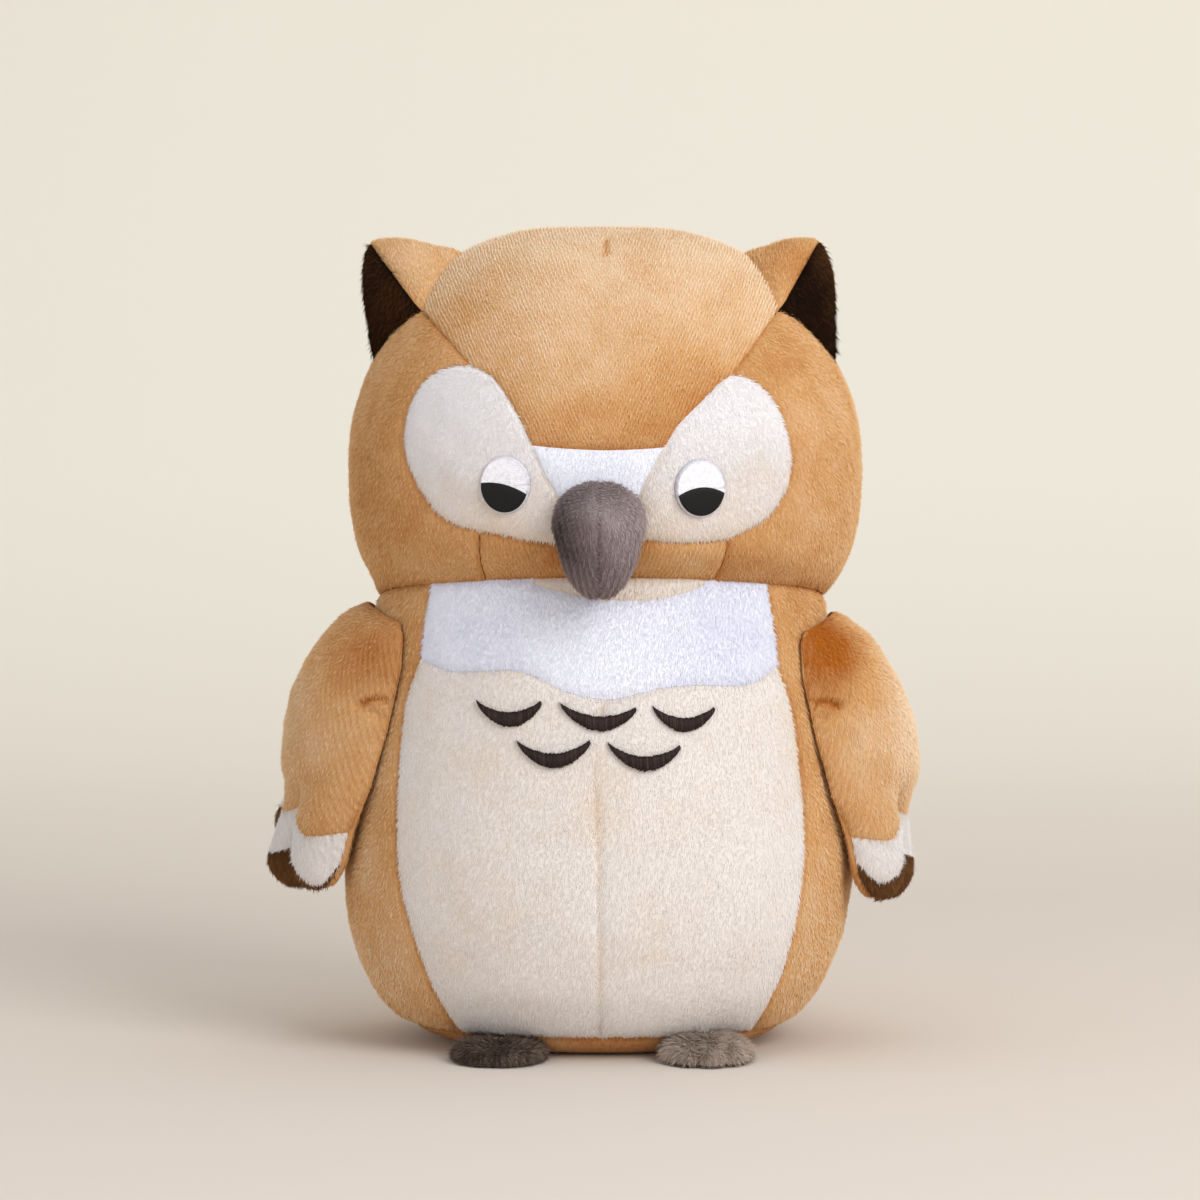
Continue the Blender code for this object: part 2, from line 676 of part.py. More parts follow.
def make_beak(cloths, head_grown, body_grown):
    """Two panels and their filling, seated on the face."""
    half = BEAK_SIDES // 2
    form = stacked_form(BEAK_SECTION_SHARES, BEAK_HALF_WIDTH, BEAK_HALF_DEPTH, BEAK_HEIGHT,
                        BEAK_TIP_HEIGHT, (0.0, -BEAK_REACH), BEAK_SIDES,
                        lambda row, side: "left" if side < half else "right")
    form.points[0, 2] = BEAK_TIP_HEIGHT
    form = Form(form.points, form.faces, form.panels)
    for side in ("left", "right"):
        cut(panel(f"beak_{side}_panel", form, side, LIMB_SKIN, cloths["grey_plush"]),
            remove=[head_grown, body_grown])
    cut(filling("beak_stuffing", form, LIMB_SKIN, cloths["fibre_filling"]), remove=[head_grown, body_grown])


def make_eyes(cloths):
    """A felt disc on each eye patch, and black stitching over its lower half."""
    for side, sign in (("left", 1), ("right", -1)):
        seat = seat_on_front(head_section, sign * EYE_OFFSET, EYE_HEIGHT)
        turns = 2 * pi * np.arange(DISC_SIDES) / DISC_SIDES
        disc = [(EYE_RADIUS * cos(turn), EYE_RADIUS * sin(turn)) for turn in turns]
        slant = LID_SLANT * sign
        stitched = [(x * PUPIL_SHARE, y * PUPIL_SHARE) for x, y in disc]
        lid = [(x, y) for x, y in stitched if y <= slant * x + GAP]
        lid.sort(key=lambda point: np.arctan2(point[0], -point[1]))
        plate(f"{side}_eye_disc", disc, GAP, FELT, seat, cloths["white_felt"])
        plate(f"{side}_pupil", lid, 2 * GAP + FELT, STITCH, seat, cloths["black_thread"])


def plate(name, outline, lift, thickness, seat, cloth):
    """A flat piece with an outline, lifted off its seat."""
    count = len(outline)
    points = [(x, y, lift) for x, y in outline] + [(x, y, lift + thickness) for x, y in outline]
    sides = [(i, (i + 1) % count, count + (i + 1) % count, count + i) for i in range(count)]
    faces = [tuple(reversed(range(count))), tuple(range(count, 2 * count))] + sides
    obj = add_object(name, points, faces, cloth)
    obj.data.set_sharp_from_angle(angle=radians(SHARP_DEGREES))
    obj.matrix_world = seat
    return obj


def make_feet(cloths, body_grown):
    """Flat sole, upper and filling of each foot, sewn under the front of the body."""
    base_half_width, base_depth = body_section(0.0)
    offset, reach = FOOT_SPREAD_SHARE * base_half_width, base_depth + FOOT_OVERHANG
    wide, tall = BODY_HALF_WIDTH + OVERRUN, FOOT_HEIGHT + OVERRUN
    behind = block("behind_feet", (-wide, -base_depth - FOOT_SEAM, -OVERRUN), (wide, wide, tall))
    for side, sign in (("left", 1), ("right", -1)):
        form = stacked_form(FOOT_SECTION_SHARES, FOOT_HALF_WIDTH, FOOT_HALF_LENGTH, FOOT_HEIGHT, 0.0,
                            (sign * offset, -reach), FOOT_SIDES,
                            lambda row, side: "sole" if row < 0 else "upper")
        cutters = [body_grown, behind]
        cut(panel(f"{side}_foot_sole", form, "sole", LIMB_SKIN, cloths["grey_plush"]), remove=cutters)
        cut(panel(f"{side}_foot_upper", form, "upper", LIMB_SKIN, cloths["grey_plush"]), remove=cutters)
        cut(filling(f"{side}_foot_stuffing", form, LIMB_SKIN, cloths["fibre_filling"]), remove=cutters)


# Wings


def feather_lines():
    """How far down each column the caramel, white and brown end, seen from the side."""
    ends = np.array(FEATHER_END_SHARES) * WING_LENGTH
    columns = len(ends) * FEATHER_STEPS + 1
    total, count = np.zeros((columns, 3)), np.zeros((columns, 1))
    for feather, end in enumerate(ends):
        for step in range(FEATHER_STEPS + 1):
            rise = FEATHER_SCALLOP * (1 - sin(pi * step / FEATHER_STEPS))
            total[feather * FEATHER_STEPS + step] += end - rise
            count[feather * FEATHER_STEPS + step] += 1
    return total / count


def corner_triangles(face, falling):
    """A corner square of the cushion, split from its corner so that neither half lies on the edge."""
    low_near, low_far, high_far, high_near = face
    if falling:
        return [(low_near, low_far, high_near), (low_far, high_far, high_near)]
    return [(low_near, low_far, high_far), (low_near, high_far, high_near)]


def wing_form():
    """A cushion on the body's left side: an outer and an inner sheet that share their edge."""
    lines = feather_lines()
    columns = len(lines)
    across = np.arange(columns) / (columns - 1)
    top = WING_SHOULDER_DROP * np.abs(2 * across - 1) ** WING_SHOULDER_POWER
    drops = [top + (lines[:, 0] - top) * share for share in WING_ROW_SHARES]
    drops = np.array(drops + [lines[:, 1], lines[:, 2]])
    rows = len(drops)
    share = drops / WING_LENGTH
    edge = np.interp(share, *np.transpose(WING_EDGE_SHARES))
    y = edge * (-WING_FRONT * (1 - across) + WING_REAR * across)
    z = WING_TOP - drops
    inner = side_of(body_section, y, z) + WING_CLEARANCE
    thickness = WING_THICKNESS * np.interp(share, *np.transpose(WING_THICKNESS_SHARES))
    thickness = thickness * np.sin(pi * across) ** WING_EDGE_POWER
    thickness[0] = 0.0
    thickness[-1] = 0.0
    for column in range(FEATHER_STEPS, columns - 1, FEATHER_STEPS):
        thickness[len(WING_ROW_SHARES) - 1:, column] *= CLEFT_SHARE
        thickness[len(WING_ROW_SHARES) - 2, column] *= (1 + CLEFT_SHARE) / 2
    outer = inner + thickness
    points = []
    sheets = []
    shared = {}
    for sheet, x in (("outer", outer), ("inner", inner)):
        index = np.zeros((rows, columns), dtype=int)
        for row in range(rows):
            for column in range(columns):
                border = row in (0, rows - 1) or column in (0, columns - 1)
                if border and (row, column) in shared:
                    index[row, column] = shared[row, column]
                    continue
                index[row, column] = len(points)
                points.append((x[row, column], y[row, column], z[row, column]))
                if border:
                    shared[row, column] = index[row, column]
        sheets.append((sheet, index))
    faces = []
    panels = []
    caramel_rows = len(WING_ROW_SHARES) - 1
    for sheet, index in sheets:
        for row in range(rows - 1):
            for column in range(columns - 1):
                face = (index[row + 1, column], index[row + 1, column + 1],
                        index[row, column + 1], index[row, column])
                feather = column // FEATHER_STEPS + 1
                if sheet == "inner":
                    key = "lining"
                elif row < caramel_rows:
                    key = "outer"
                elif row == caramel_rows:
                    key = f"white_{feather}"
                else:
                    key = f"brown_{feather}"
                pieces = [face]
                if row in (0, rows - 2) and column in (0, columns - 2):
                    pieces = corner_triangles(face, (row == 0) == (column == 0))
                for piece in pieces:
                    turned = piece if sheet == "outer" else piece[::-1]
                    faces.append(tuple(int(corner) for corner in turned))
                    panels.append(key)
    return Form(points, faces, panels)


def make_wings(cloths):
    """Outer panel, lining, white bands, brown tips and filling, on an empty at the shoulder seam."""
    own = wing_form()
    seam_offset = side_of(body_section, 0.0, WING_TOP) + WING_CLEARANCE
    for side, sign, form in (("left", 1, own), ("right", -1, own.mirrored())):
        shoulder = bpy.data.objects.new(f"{side}_shoulder", None)
        bpy.context.collection.objects.link(shoulder)
        shoulder.location = (sign * seam_offset, 0.0, WING_TOP + HINGE_LIFT)
        made = [panel(f"{side}_wing_outer_panel", form, "outer", LIMB_SKIN, cloths["caramel_plush"]),
                panel(f"{side}_wing_lining_panel", form, "lining", LIMB_SKIN, cloths["caramel_plush"]),
                filling(f"{side}_wing_stuffing", form, LIMB_SKIN, cloths["fibre_filling"])]
        for feather in range(1, len(FEATHER_END_SHARES) + 1):
            made.append(panel(f"{side}_wing_white_band_{feather}", form, f"white_{feather}", LIMB_SKIN,
                              cloths["white_plush"]))
            made.append(panel(f"{side}_wing_brown_tip_{feather}", form, f"brown_{feather}", LIMB_SKIN,
                              cloths["tip_plush"]))
        for obj in made:
            obj.parent = shoulder
            obj.matrix_parent_inverse = Matrix.Translation(shoulder.location).inverted()


# Crescents


def make_crescents(cloths):
    """Five satin-stitched crescents, horns up, each a strip laid on the belly."""
    for number, (across, up) in enumerate(CRESCENT_PLACE_SHARES, start=1):
        centre, horns = across * BODY_HALF_WIDTH, up * NECK_HEIGHT
        upper, lower = [], []
        for step in range(CRESCENT_STEPS + 1):
            turn = pi * step / CRESCENT_STEPS
            x = centre - CRESCENT_HALF_SPAN * cos(turn)
            upper.append((x, horns - CRESCENT_HOLLOW * sin(turn)))
            lower.append((x, horns - CRESCENT_SAG * sin(turn) - 2 * GAP))
        strip = np.array(upper + lower)
        count = len(upper)
        points = []
        for lift in (CRESCENT_LIFT, CRESCENT_LIFT + STITCH):
            for x, z in strip:
                seat = seat_on_front(body_section, x, z)
                points.append(seat @ Vector((0.0, 0.0, lift)))
        low, high = 0, len(strip)
        faces = []
        for i in range(count - 1):
            faces.append((high + i, high + count + i, high + count + i + 1, high + i + 1))
            faces.append((low + i + 1, low + count + i + 1, low + count + i, low + i))
            faces.append((low + i, high + i, high + i + 1, low + i + 1))
            faces.append((low + count + i + 1, high + count + i + 1, high + count + i, low + count + i))
        faces.append((low, low + count, high + count, high))
        end = count - 1
        faces.append((high + end, high + count + end, low + count + end, low + end))
        add_object(f"crescent_{number}", points, faces, cloths["brown_thread"])


def main():
    for obj in list(bpy.data.objects):
        bpy.data.objects.remove(obj)
    cloths = make_cloths()
    head_grown = make_head(cloths)
    body_grown = make_body(cloths)
    make_ears(cloths, head_grown)
    make_beak(cloths, head_grown, body_grown)
    make_eyes(cloths)
    make_feet(cloths, body_grown)
    make_wings(cloths)
    make_crescents(cloths)


main()
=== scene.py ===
# %% [markdown]
# # A plush owl, panel by panel
# The toy is cut from short-pile plush, sewn, turned and stuffed. Each sewn panel becomes one mesh:
# a thin cloth shell that dips at its seams, with thousands of small leaning strands for the pile.
# All tables are in millimetres. The toy faces -Y, and its own left is +X, the right of the picture.

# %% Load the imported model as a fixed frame
import math
from functools import partial
from types import SimpleNamespace

import bpy
import numpy as np
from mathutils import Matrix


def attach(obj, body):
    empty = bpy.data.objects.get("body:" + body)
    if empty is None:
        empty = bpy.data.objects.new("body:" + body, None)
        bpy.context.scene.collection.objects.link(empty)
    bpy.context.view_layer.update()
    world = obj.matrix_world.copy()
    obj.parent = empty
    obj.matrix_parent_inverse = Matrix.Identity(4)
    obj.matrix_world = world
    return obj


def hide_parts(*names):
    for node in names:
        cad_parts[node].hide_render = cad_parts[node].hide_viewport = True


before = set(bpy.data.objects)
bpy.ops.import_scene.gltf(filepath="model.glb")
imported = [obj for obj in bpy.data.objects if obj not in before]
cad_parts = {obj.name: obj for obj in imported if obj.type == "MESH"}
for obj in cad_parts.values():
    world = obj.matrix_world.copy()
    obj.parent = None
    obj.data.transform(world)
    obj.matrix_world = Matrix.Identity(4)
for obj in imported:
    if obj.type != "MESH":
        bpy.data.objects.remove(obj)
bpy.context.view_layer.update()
MM = 0.001
SIDES = (("right", -1), ("left", 1))
print("solids to dress:", len(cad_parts))

# %% [markdown]
# ## The camera
# The photograph was taken through a long lens, a little above the middle of the toy. A 135 mm lens at
# 1.5 m gives three pixels to a millimetre. The same numbers, run backwards, tell where a pixel of
# the photograph lies on the toy, so seams can be placed by what the picture shows.

# %% Camera
AIM = np.array((-0.33, 0.0, 146.4))
DISTANCE = 1500.0
ELEVATION = math.radians(3.0)
COSINE, SINE = math.cos(ELEVATION), math.sin(ELEVATION)
LENS, SENSOR = 135.0, 36
PICTURE = 1200
PIXELS = PICTURE * LENS / SENSOR

camera = bpy.data.objects.new("camera", bpy.data.cameras.new("camera"))
bpy.context.collection.objects.link(camera)
camera.data.lens = LENS
camera.data.sensor_width = SENSOR
camera.location = (AIM + DISTANCE * np.array((0, -COSINE, SINE))) * MM
camera.rotation_euler = (math.pi / 2 - ELEVATION, 0, 0)
bpy.context.scene.camera = camera


def through_pixel(pixels, y):
    """Across and up of the points seen at these pixels, at a given depth y. The ray's slope up is the
    pixel's height over the focal length, and the tilt of the camera is solved for the height."""
    aside, slope = ((pixels - PICTURE / 2) / PIXELS * (1, -1)).T
    up = (slope * (DISTANCE + y * COSINE) - y * SINE) / (COSINE + slope * SINE)
    away = DISTANCE + y * COSINE - up * SINE
    return AIM[0] + aside * away, AIM[2] + up


print("pixels to a millimetre:", PIXELS / DISTANCE)

# %% [markdown]
# ## Chance that repeats
# Plush is never even: it has lumps of stuffing, tufts and turned nap. A smooth random field gives
# them. It is worked out from whole-number cells, so it is the same in every run.

# %% A smooth random field
MIXERS = np.array((374761393, 668265263, 1442695041))
SEED_MIXER, LAST_MIXER = 1274126177, 1103515245
LOW_BITS = 0xFFFF
BEYOND = 4096
CORNERS = [np.array((i, j, k)) for i in (0, 1) for j in (0, 1) for k in (0, 1)]


def cell_value(cells, seed):
    """A fixed number from 0 to 1 for each cell: its three numbers times large odd numbers, with the
    bits mixed."""
    mixed = (cells * MIXERS).sum(axis=-1) + seed * SEED_MIXER
    mixed = (mixed ^ (mixed >> 13)) * LAST_MIXER
    return ((mixed ^ (mixed >> 16)) & LOW_BITS) / LOW_BITS


def eased(share):
    """A share from 0 to 1 that starts and ends slowly: three squares less two cubes."""
    return share * share * (3 - 2 * share)


def mottle(points, size, seed=0):
    """Smooth field from -1 to 1 with spots of a size in millimetres: the values of the eight cell
    corners round a point, blended by eased distances."""
    spots = np.asarray(points) / size + BEYOND
    cell = np.floor(spots).astype(np.int64)
    ease = eased(spots - cell)
    total = sum(np.where(corner, ease, 1 - ease).prod(axis=-1) * cell_value(cell + corner, seed)
                for corner in CORNERS)
    return total * 2 - 1


# %% [markdown]
# ## Curves for seams
# A seam is a smooth run through a few measured points. Runs can be joined at a corner, and are then
# divided evenly by length, so two panels that share a seam get the same line.

# %% Smooth runs


def smooth_run(points, steps=12):
    """A curve through the points. Each stretch is a cubic whose slope at a point is that of its two
    neighbours (Catmull-Rom)."""
    points = np.asarray(points, dtype=float)
    padded = np.vstack([2 * points[:1] - points[1:2], points, 2 * points[-1:] - points[-2:-1]])
    a, b, c, d = padded[:-3], padded[1:-2], padded[2:-1], padded[3:]
    t = (np.arange(steps) / steps)[:, None, None]
    curve = 0.5 * (2 * b + (c - a) * t + (2 * a - 5 * b + 4 * c - d) * t * t
                   + (3 * b - a - 3 * c + d) * t ** 3)
    return np.vstack([curve.transpose(1, 0, 2).reshape(-1, points.shape[1]), points[-1:]])


def length_of(run):
    """Sum of the straight steps."""
    return np.linalg.norm(np.diff(run, axis=0), axis=1).sum()


def evenly(run, count):
    """The run divided into equal lengths: distance along it, read back at even places."""
    steps = np.linalg.norm(np.diff(run, axis=0), axis=1)
    along = np.concatenate([[0], np.cumsum(steps)])
    places = np.linspace(0, along[-1], count)
    return np.column_stack([np.interp(places, along, axis) for axis in run.T])


def joined(*runs):
    """Runs end to end."""
    return np.vstack([runs[0]] + [run[1:] for run in runs[1:]])


# %% [markdown]
# ## Head and body shapes
# Both are stacks of rounded sections. Each row below gives a height, the half width on the toy's
# right and left, and the depth. Heights and widths are read from the outline of the photograph, and
# the toy is a little fuller on its own left, as stuffed toys are. The depth is a guess, the same to
# the front and to the back.

# %% Tables of sections
ROUNDNESS = 2.2
TINY = 0.01
OUTSIDE = 9.0
HEAD_ROWS = (
    (138.0, 67.0, 69.5, 57.5), (147.0, 72.0, 75.0, 61.5), (152.0, 74.6, 78.0, 64.0),
    (158.0, 77.8, 81.0, 66.6), (166.4, 81.0, 83.9, 69.2), (176.4, 83.0, 85.9, 71.2),
    (190.0, 83.7, 86.8, 72.0), (200.0, 83.2, 86.4, 71.6), (209.0, 81.6, 84.6, 70.2),
    (218.3, 78.8, 81.3, 67.7), (230.4, 73.2, 75.6, 62.6), (241.3, 66.6, 68.6, 56.5),
    (251.1, 59.0, 60.4, 49.3), (258.6, 51.0, 52.0, 42.1), (264.0, 42.0, 43.0, 34.0),
    (267.6, 31.0, 32.5, 24.6), (269.9, 17.5, 18.5, 13.5), (270.6, 0.0, 0.0, 0.0),
)
BODY_ROWS = (
    (0.0, 45.5, 44.5, 40.2), (1.8, 54.6, 53.4, 46.7), (5.2, 62.0, 60.2, 52.2),
    (11.3, 71.0, 68.5, 59.9), (21.3, 78.0, 75.2, 66.8), (32.8, 82.6, 80.0, 70.4),
    (46.2, 85.0, 82.9, 72.6), (61.1, 85.2, 84.0, 73.0), (79.0, 83.5, 83.0, 71.9),
    (98.3, 80.8, 80.7, 69.7), (116.2, 78.2, 78.2, 67.2), (132.6, 76.2, 76.2, 64.1),
    (144.5, 75.1, 75.1, 61.5), (156.0, 73.8, 73.8, 59.0), (166.0, 72.6, 72.6, 57.0),
)
HEAD = smooth_run(HEAD_ROWS)
BODY = smooth_run(BODY_ROWS)
HEAD_HEART = np.array((0.0, 0.0, 205.0))
BODY_HEART = np.array((0.0, 0.0, 75.0))
NECK_HEIGHT = 148.0
NECK_SLOPE = 0.15
NECK_TUCK = 4.5
BASE_SEAM = 6.5
HEAD_SEAM = 12.0
SETTLING = 40


def half_sizes(form, x, z):
    """Half width on the point's own side, and depth, at a height: each table column read at z."""
    right, left, deep = (np.interp(z, form[:, 0], form[:, k]) for k in range(1, 4))
    return np.where(x < 0, right, left), deep


def fullness(form, points):
    """Under 1 inside the form: |across / half width| and |back / depth|, each raised to the
    roundness and added."""
    x, y, z = points[..., 0], points[..., 1], points[..., 2]
    wide, deep = half_sizes(form, x, z)
    value = (np.abs(x) / np.maximum(wide, TINY)) ** ROUNDNESS
    value += (np.abs(y) / np.maximum(deep, TINY)) ** ROUNDNESS
    return np.where((z > form[0, 0]) & (z < form[-1, 0]), value, OUTSIDE)


def around(form, turn, z):
    """Point at an angle from the front and a height: across is the half width times sine, back is
    the depth times cosine, each to the power two over the roundness."""
    sine, cosine = np.sin(turn), np.cos(turn)
    wide, deep = half_sizes(form, sine, z)
    x = wide * np.sign(sine) * np.abs(sine) ** (2 / ROUNDNESS)
    y = -deep * np.sign(cosine) * np.abs(cosine) ** (2 / ROUNDNESS)
    return np.stack([x, y, z + 0 * x], axis=-1)


def turn_of(form, points):
    """The angle that around() would need for these points."""
    x, y, z = points[..., 0], points[..., 1], points[..., 2]
    wide, deep = [np.maximum(size, TINY) for size in half_sizes(form, x, z)]
    sine = np.sign(x) * np.abs(x / wide) ** (ROUNDNESS / 2)
    return np.arctan2(sine, -np.sign(y) * np.abs(y / deep) ** (ROUNDNESS / 2))


def flank(wide, share):
    """Half width of the rounded section where back over depth is a share."""
    return wide * (1 - share ** ROUNDNESS) ** (1 / ROUNDNESS)


def seen_on(form, pixels):
    """Where the view through each pixel meets the front of a form: guess the depth, read across and
    up, read the form's front there, and repeat until it settles."""
    pixels = np.asarray(pixels, dtype=float)
    y = np.full(len(pixels), -40.0)
    for _ in range(SETTLING):
        x, z = through_pixel(pixels, y)
        wide, deep = half_sizes(form, x, z)
        y = (y + flank(-deep, np.minimum(np.abs(x / wide), 1))) / 2
    return np.column_stack([x, y, z])


def seam_on(form, pixels):
    """A smooth run of pixels laid on the form."""
    return seen_on(form, smooth_run(pixels))


def crossing(inside, near, far, halvings):
    """Where a test changes from true to false between two places, by halving the stretch."""
    for _ in range(halvings):
        middle = (near + far) / 2
        within = inside(middle)
        near, far = np.where(within, middle, near), np.where(within, far, middle)
    return near


def onto(form, points, heart):
    """Each point pushed along the ray from the heart onto the form."""
    rays = points - heart
    reach = crossing(lambda share: fullness(form, heart + rays * share[..., None]) < 1,
                     np.full(points.shape[:-1], 0.15), np.full(points.shape[:-1], 3.0), halvings=24)
    return heart + rays * reach[..., None]


def neck_ring(form, turns):
    """The neck seam: a height that falls towards the back by the slope, found by repetition."""
    z = np.full(np.shape(turns), NECK_HEIGHT)
    for _ in range(12):
        z = NECK_HEIGHT - NECK_SLOPE * around(form, turns, z)[..., 1]
    return around(form, turns, z)


def tucked(grid):
    """The head's lowest millimetres are drawn in to the neck seam of the body. Each point moves by the
    step between the two rings at its angle, times a share that falls with its height over the seam."""
    turns = turn_of(HEAD, grid)
    ring = neck_ring(HEAD, turns)
    rise = np.maximum(grid[..., 2] - ring[..., 2], 0)
    share = np.exp(-(rise / NECK_TUCK) ** 1.5)[..., None]
    return grid + share * (neck_ring(BODY, turns) - (0, 0, 1.0) - ring)


print("head and body rows:", len(HEAD), len(BODY))

# %% [markdown]
# ## Spanning a panel
# A panel is a piece of cloth between four seams. A Coons patch spans it: the two blends between
# facing edges, less the blend of the corners. The result is pushed onto the stuffed form.

# %% Patches


def spanned(bottom, top, left, right, spacing):
    """Coons patch on a grid whose cells are about the spacing wide. Bottom and top run left to
    right, left and right run upwards."""
    columns = max(3, int(round(max(length_of(bottom), length_of(top)) / spacing)) + 1)
    rows = max(3, int(round(max(length_of(left), length_of(right)) / spacing)) + 1)
    bottom, top = evenly(bottom, columns), evenly(top, columns)
    left, right = evenly(left, rows), evenly(right, rows)
    u, v = np.linspace(0, 1, columns)[None, :, None], np.linspace(0, 1, rows)[:, None, None]
    edges = (1 - v) * bottom + v * top + (1 - u) * left[:, None] + u * right[:, None]
    corners = (1 - v) * ((1 - u) * bottom[0] + u * bottom[-1]) + v * ((1 - u) * top[0] + u * top[-1])
    return edges - corners


def head_patch(bottom, top, left, right, spacing=1.6):
    """A patch between four runs on the head."""
    return tucked(onto(HEAD, spanned(bottom, top, left, right, spacing), HEAD_HEART))


UNROLLED = 78.0


def unrolled(run):
    """Points on the body as angle times mean radius, and height."""
    return np.column_stack([turn_of(BODY, run) * UNROLLED, run[:, 2]])


def body_patch(bottom, top, left, right, spacing=1.6):
    """A patch between four runs on the body, spanned on the unrolled body: angle times a mean
    radius, and height."""
    runs = [run if run.shape[1] == 2 else unrolled(run) for run in (bottom, top, left, right)]
    flat = spanned(*runs, spacing)
    return around(BODY, flat[..., 0] / UNROLLED, flat[..., 1])


def turned_round(turned, bottom, top, first, last):
    """The four runs of a panel, or those of its mirror image, which also run left to right."""
    return (bottom[::-1], top[::-1], last, first) if turned else (bottom, top, first, last)


def unit(vectors):
    """Vectors divided by their length."""
    return vectors / np.maximum(np.linalg.norm(vectors, axis=-1, keepdims=True), 1e-9)


def grid_normals(grid):
    """Unit normals: the cross product of the steps along the two directions of the grid. Where a row
    has shrunk to one point, it takes the mean of its neighbour row."""
    normals = unit(np.cross(np.gradient(grid, axis=1), np.gradient(grid, axis=0)))
    for row, beside in ((0, 1), (-1, -2)):
        if length_of(grid[row]) < TINY:
            normals[row] = unit(normals[beside].mean(axis=0))
    return normals


def cell_areas(grid):
    """Area of each cell: half the cross product of its diagonals."""
    return np.linalg.norm(np.cross(grid[1:, 1:] - grid[:-1, :-1], grid[1:, :-1] - grid[:-1, 1:]), axis=-1) / 2


# %% [markdown]
# ## Finishes
# Plush has no gloss: light goes into the pile and comes back soft, with a pale sheen where it is seen
# edge on. The colour is painted darker towards the root of each strand and on the cloth under the pile,
# as shade within the pile, and it changes where the nap is turned. Two attributes of each strand carry
# that, its tone and its place from root to tip.

# %% Materials


def linear(colour):
    """Screen colour from 0 to 255 as light: each channel's share to the power of the screen's curve."""
    shares = np.array(colour) / 255
    bent = np.where(shares <= 0.04045, shares / 12.92, ((shares + 0.055) / 1.055) ** 2.4)
    return (*bent, 1.0)


def new_material(name):
    """An empty Principled material and its node tree."""
    material = bpy.data.materials.new(name)
    material.use_nodes = True
    return material, material.node_tree, material.node_tree.nodes["Principled BSDF"]


def wire(tree, target, inputs):
    """Sets each input of a node to its constant, or links it to the output that is given for it."""
    for name, given in inputs.items():
        if isinstance(given, bpy.types.NodeSocket):
            tree.links.new(given, target.inputs[name])
        else:
            target.inputs[name].default_value = given
    return target


def node(tree, kind, inputs, output, **settings):
    """One output of a new node with these settings and inputs."""
    made = tree.nodes.new(kind)
    for name, value in settings.items():
        setattr(made, name, value)
    return wire(tree, made, inputs).outputs[output]


def attribute(tree, name):
    """The number that each point of a mesh carries under a name."""
    return node(tree, "ShaderNodeAttribute", {}, "Fac", attribute_name=name)


def object_noise(tree, scale, detail=2):
    """Noise read at Object coordinates."""
    place = node(tree, "ShaderNodeTexCoord", {}, "Object")
    return node(tree, "ShaderNodeTexNoise", {"Vector": place, "Scale": scale, "Detail": detail}, "Fac")


def ramp_of(tree, value, stops):
    """A value turned into a colour by pairs of place and colour."""
    ramp = tree.nodes.new("ShaderNodeValToRGB")
    while len(ramp.color_ramp.elements) < len(stops):
        ramp.color_ramp.elements.new(0.5)
    for element, (place, colour) in zip(ramp.color_ramp.elements, stops):
        element.position, element.color = place, colour
    return wire(tree, ramp, {"Fac": value}).outputs["Color"]


def finished(tree, shader, colour, grain, rough, strength, distance, **more):
    """Colour, a roughness that the grain moves between two values, and a slight bump from it."""
    roughness = node(tree, "ShaderNodeMapRange", {"Value": grain, "To Min": rough[0], "To Max": rough[1]}, "Result")
    bump = node(tree, "ShaderNodeBump", {"Height": grain, "Strength": strength, "Distance": distance}, "Normal")
    wire(tree, shader, {"Base Color": colour, "Roughness": roughness, "Normal": bump})
    wire(tree, shader, {name.replace("_", " "): value for name, value in more.items()})


GRAIN_SHARE = 0.16


def plush(name, deep, middle, light, root_shade=0.78, sheen=0.25, gloss=0.25):
    """Tone picks a colour from deep to light, and the root of each strand is painted darker as shade within
    the pile. A fine noise on Object coordinates varies the tone, the roughness and a slight bump."""
    material, tree, shader = new_material(name)
    grain = object_noise(tree, 900)
    low = node(tree, "ShaderNodeMath", {0: attribute(tree, "tone"), 1: GRAIN_SHARE / 2}, 0, operation="SUBTRACT")
    tone = node(tree, "ShaderNodeMath", {0: grain, 1: GRAIN_SHARE, 2: low}, 0, operation="MULTIPLY_ADD")
    colour = ramp_of(tree, tone, ((0.0, linear(deep)), (0.5, linear(middle)), (1.0, linear(light))))
    shade = ramp_of(tree, attribute(tree, "tip"), ((0.0, (root_shade,) * 3 + (1,)), (0.75, (1, 1, 1, 1))))
    both = node(tree, "ShaderNodeMix", {"Factor": 1.0, "A": colour, "B": shade}, "Result", data_type="RGBA",
                blend_type="MULTIPLY")
    finished(tree, shader, both, grain, (0.78, 0.95), 0.25, 0.0003, Specular_IOR_Level=gloss, Sheen_Weight=sheen,
             Sheen_Roughness=0.5, Sheen_Tint=linear(light))
    return material


caramel = plush("caramel_plush_pile", (184, 102, 20), (230, 180, 122), (252, 227, 195), 0.62, 0.14, 0.14)
cream = plush("cream_plush_pile", (236, 212, 180), (242, 235, 230), (253, 249, 245))
patch_cream = plush("eye_patch_plush_pile", (236, 216, 192), (242, 238, 238), (250, 249, 252))
white = plush("white_plush_pile", (228, 230, 244), (244, 246, 255), (251, 252, 255), 0.93, 0.12, 0.05)
brown = plush("dark_brown_plush_pile", (12, 6, 2), (36, 20, 8), (96, 60, 32), 0.45, 0.02, 0.08)
tips = plush("wing_tip_plush_pile", (62, 36, 14), (112, 74, 38), (156, 112, 70), 0.45, 0.12)
grey = plush("grey_plush_pile", (62, 50, 47), (146, 130, 130), (198, 184, 184), 0.45, 0.15)
foot_grey = plush("foot_plush_pile", (58, 44, 35), (138, 120, 106), (192, 174, 160), 0.45, 0.10)
band_white = plush("wing_band_plush_pile", (214, 205, 200), (240, 235, 232), (251, 249, 248), 0.84)
print("plush finishes:", len(bpy.data.materials))

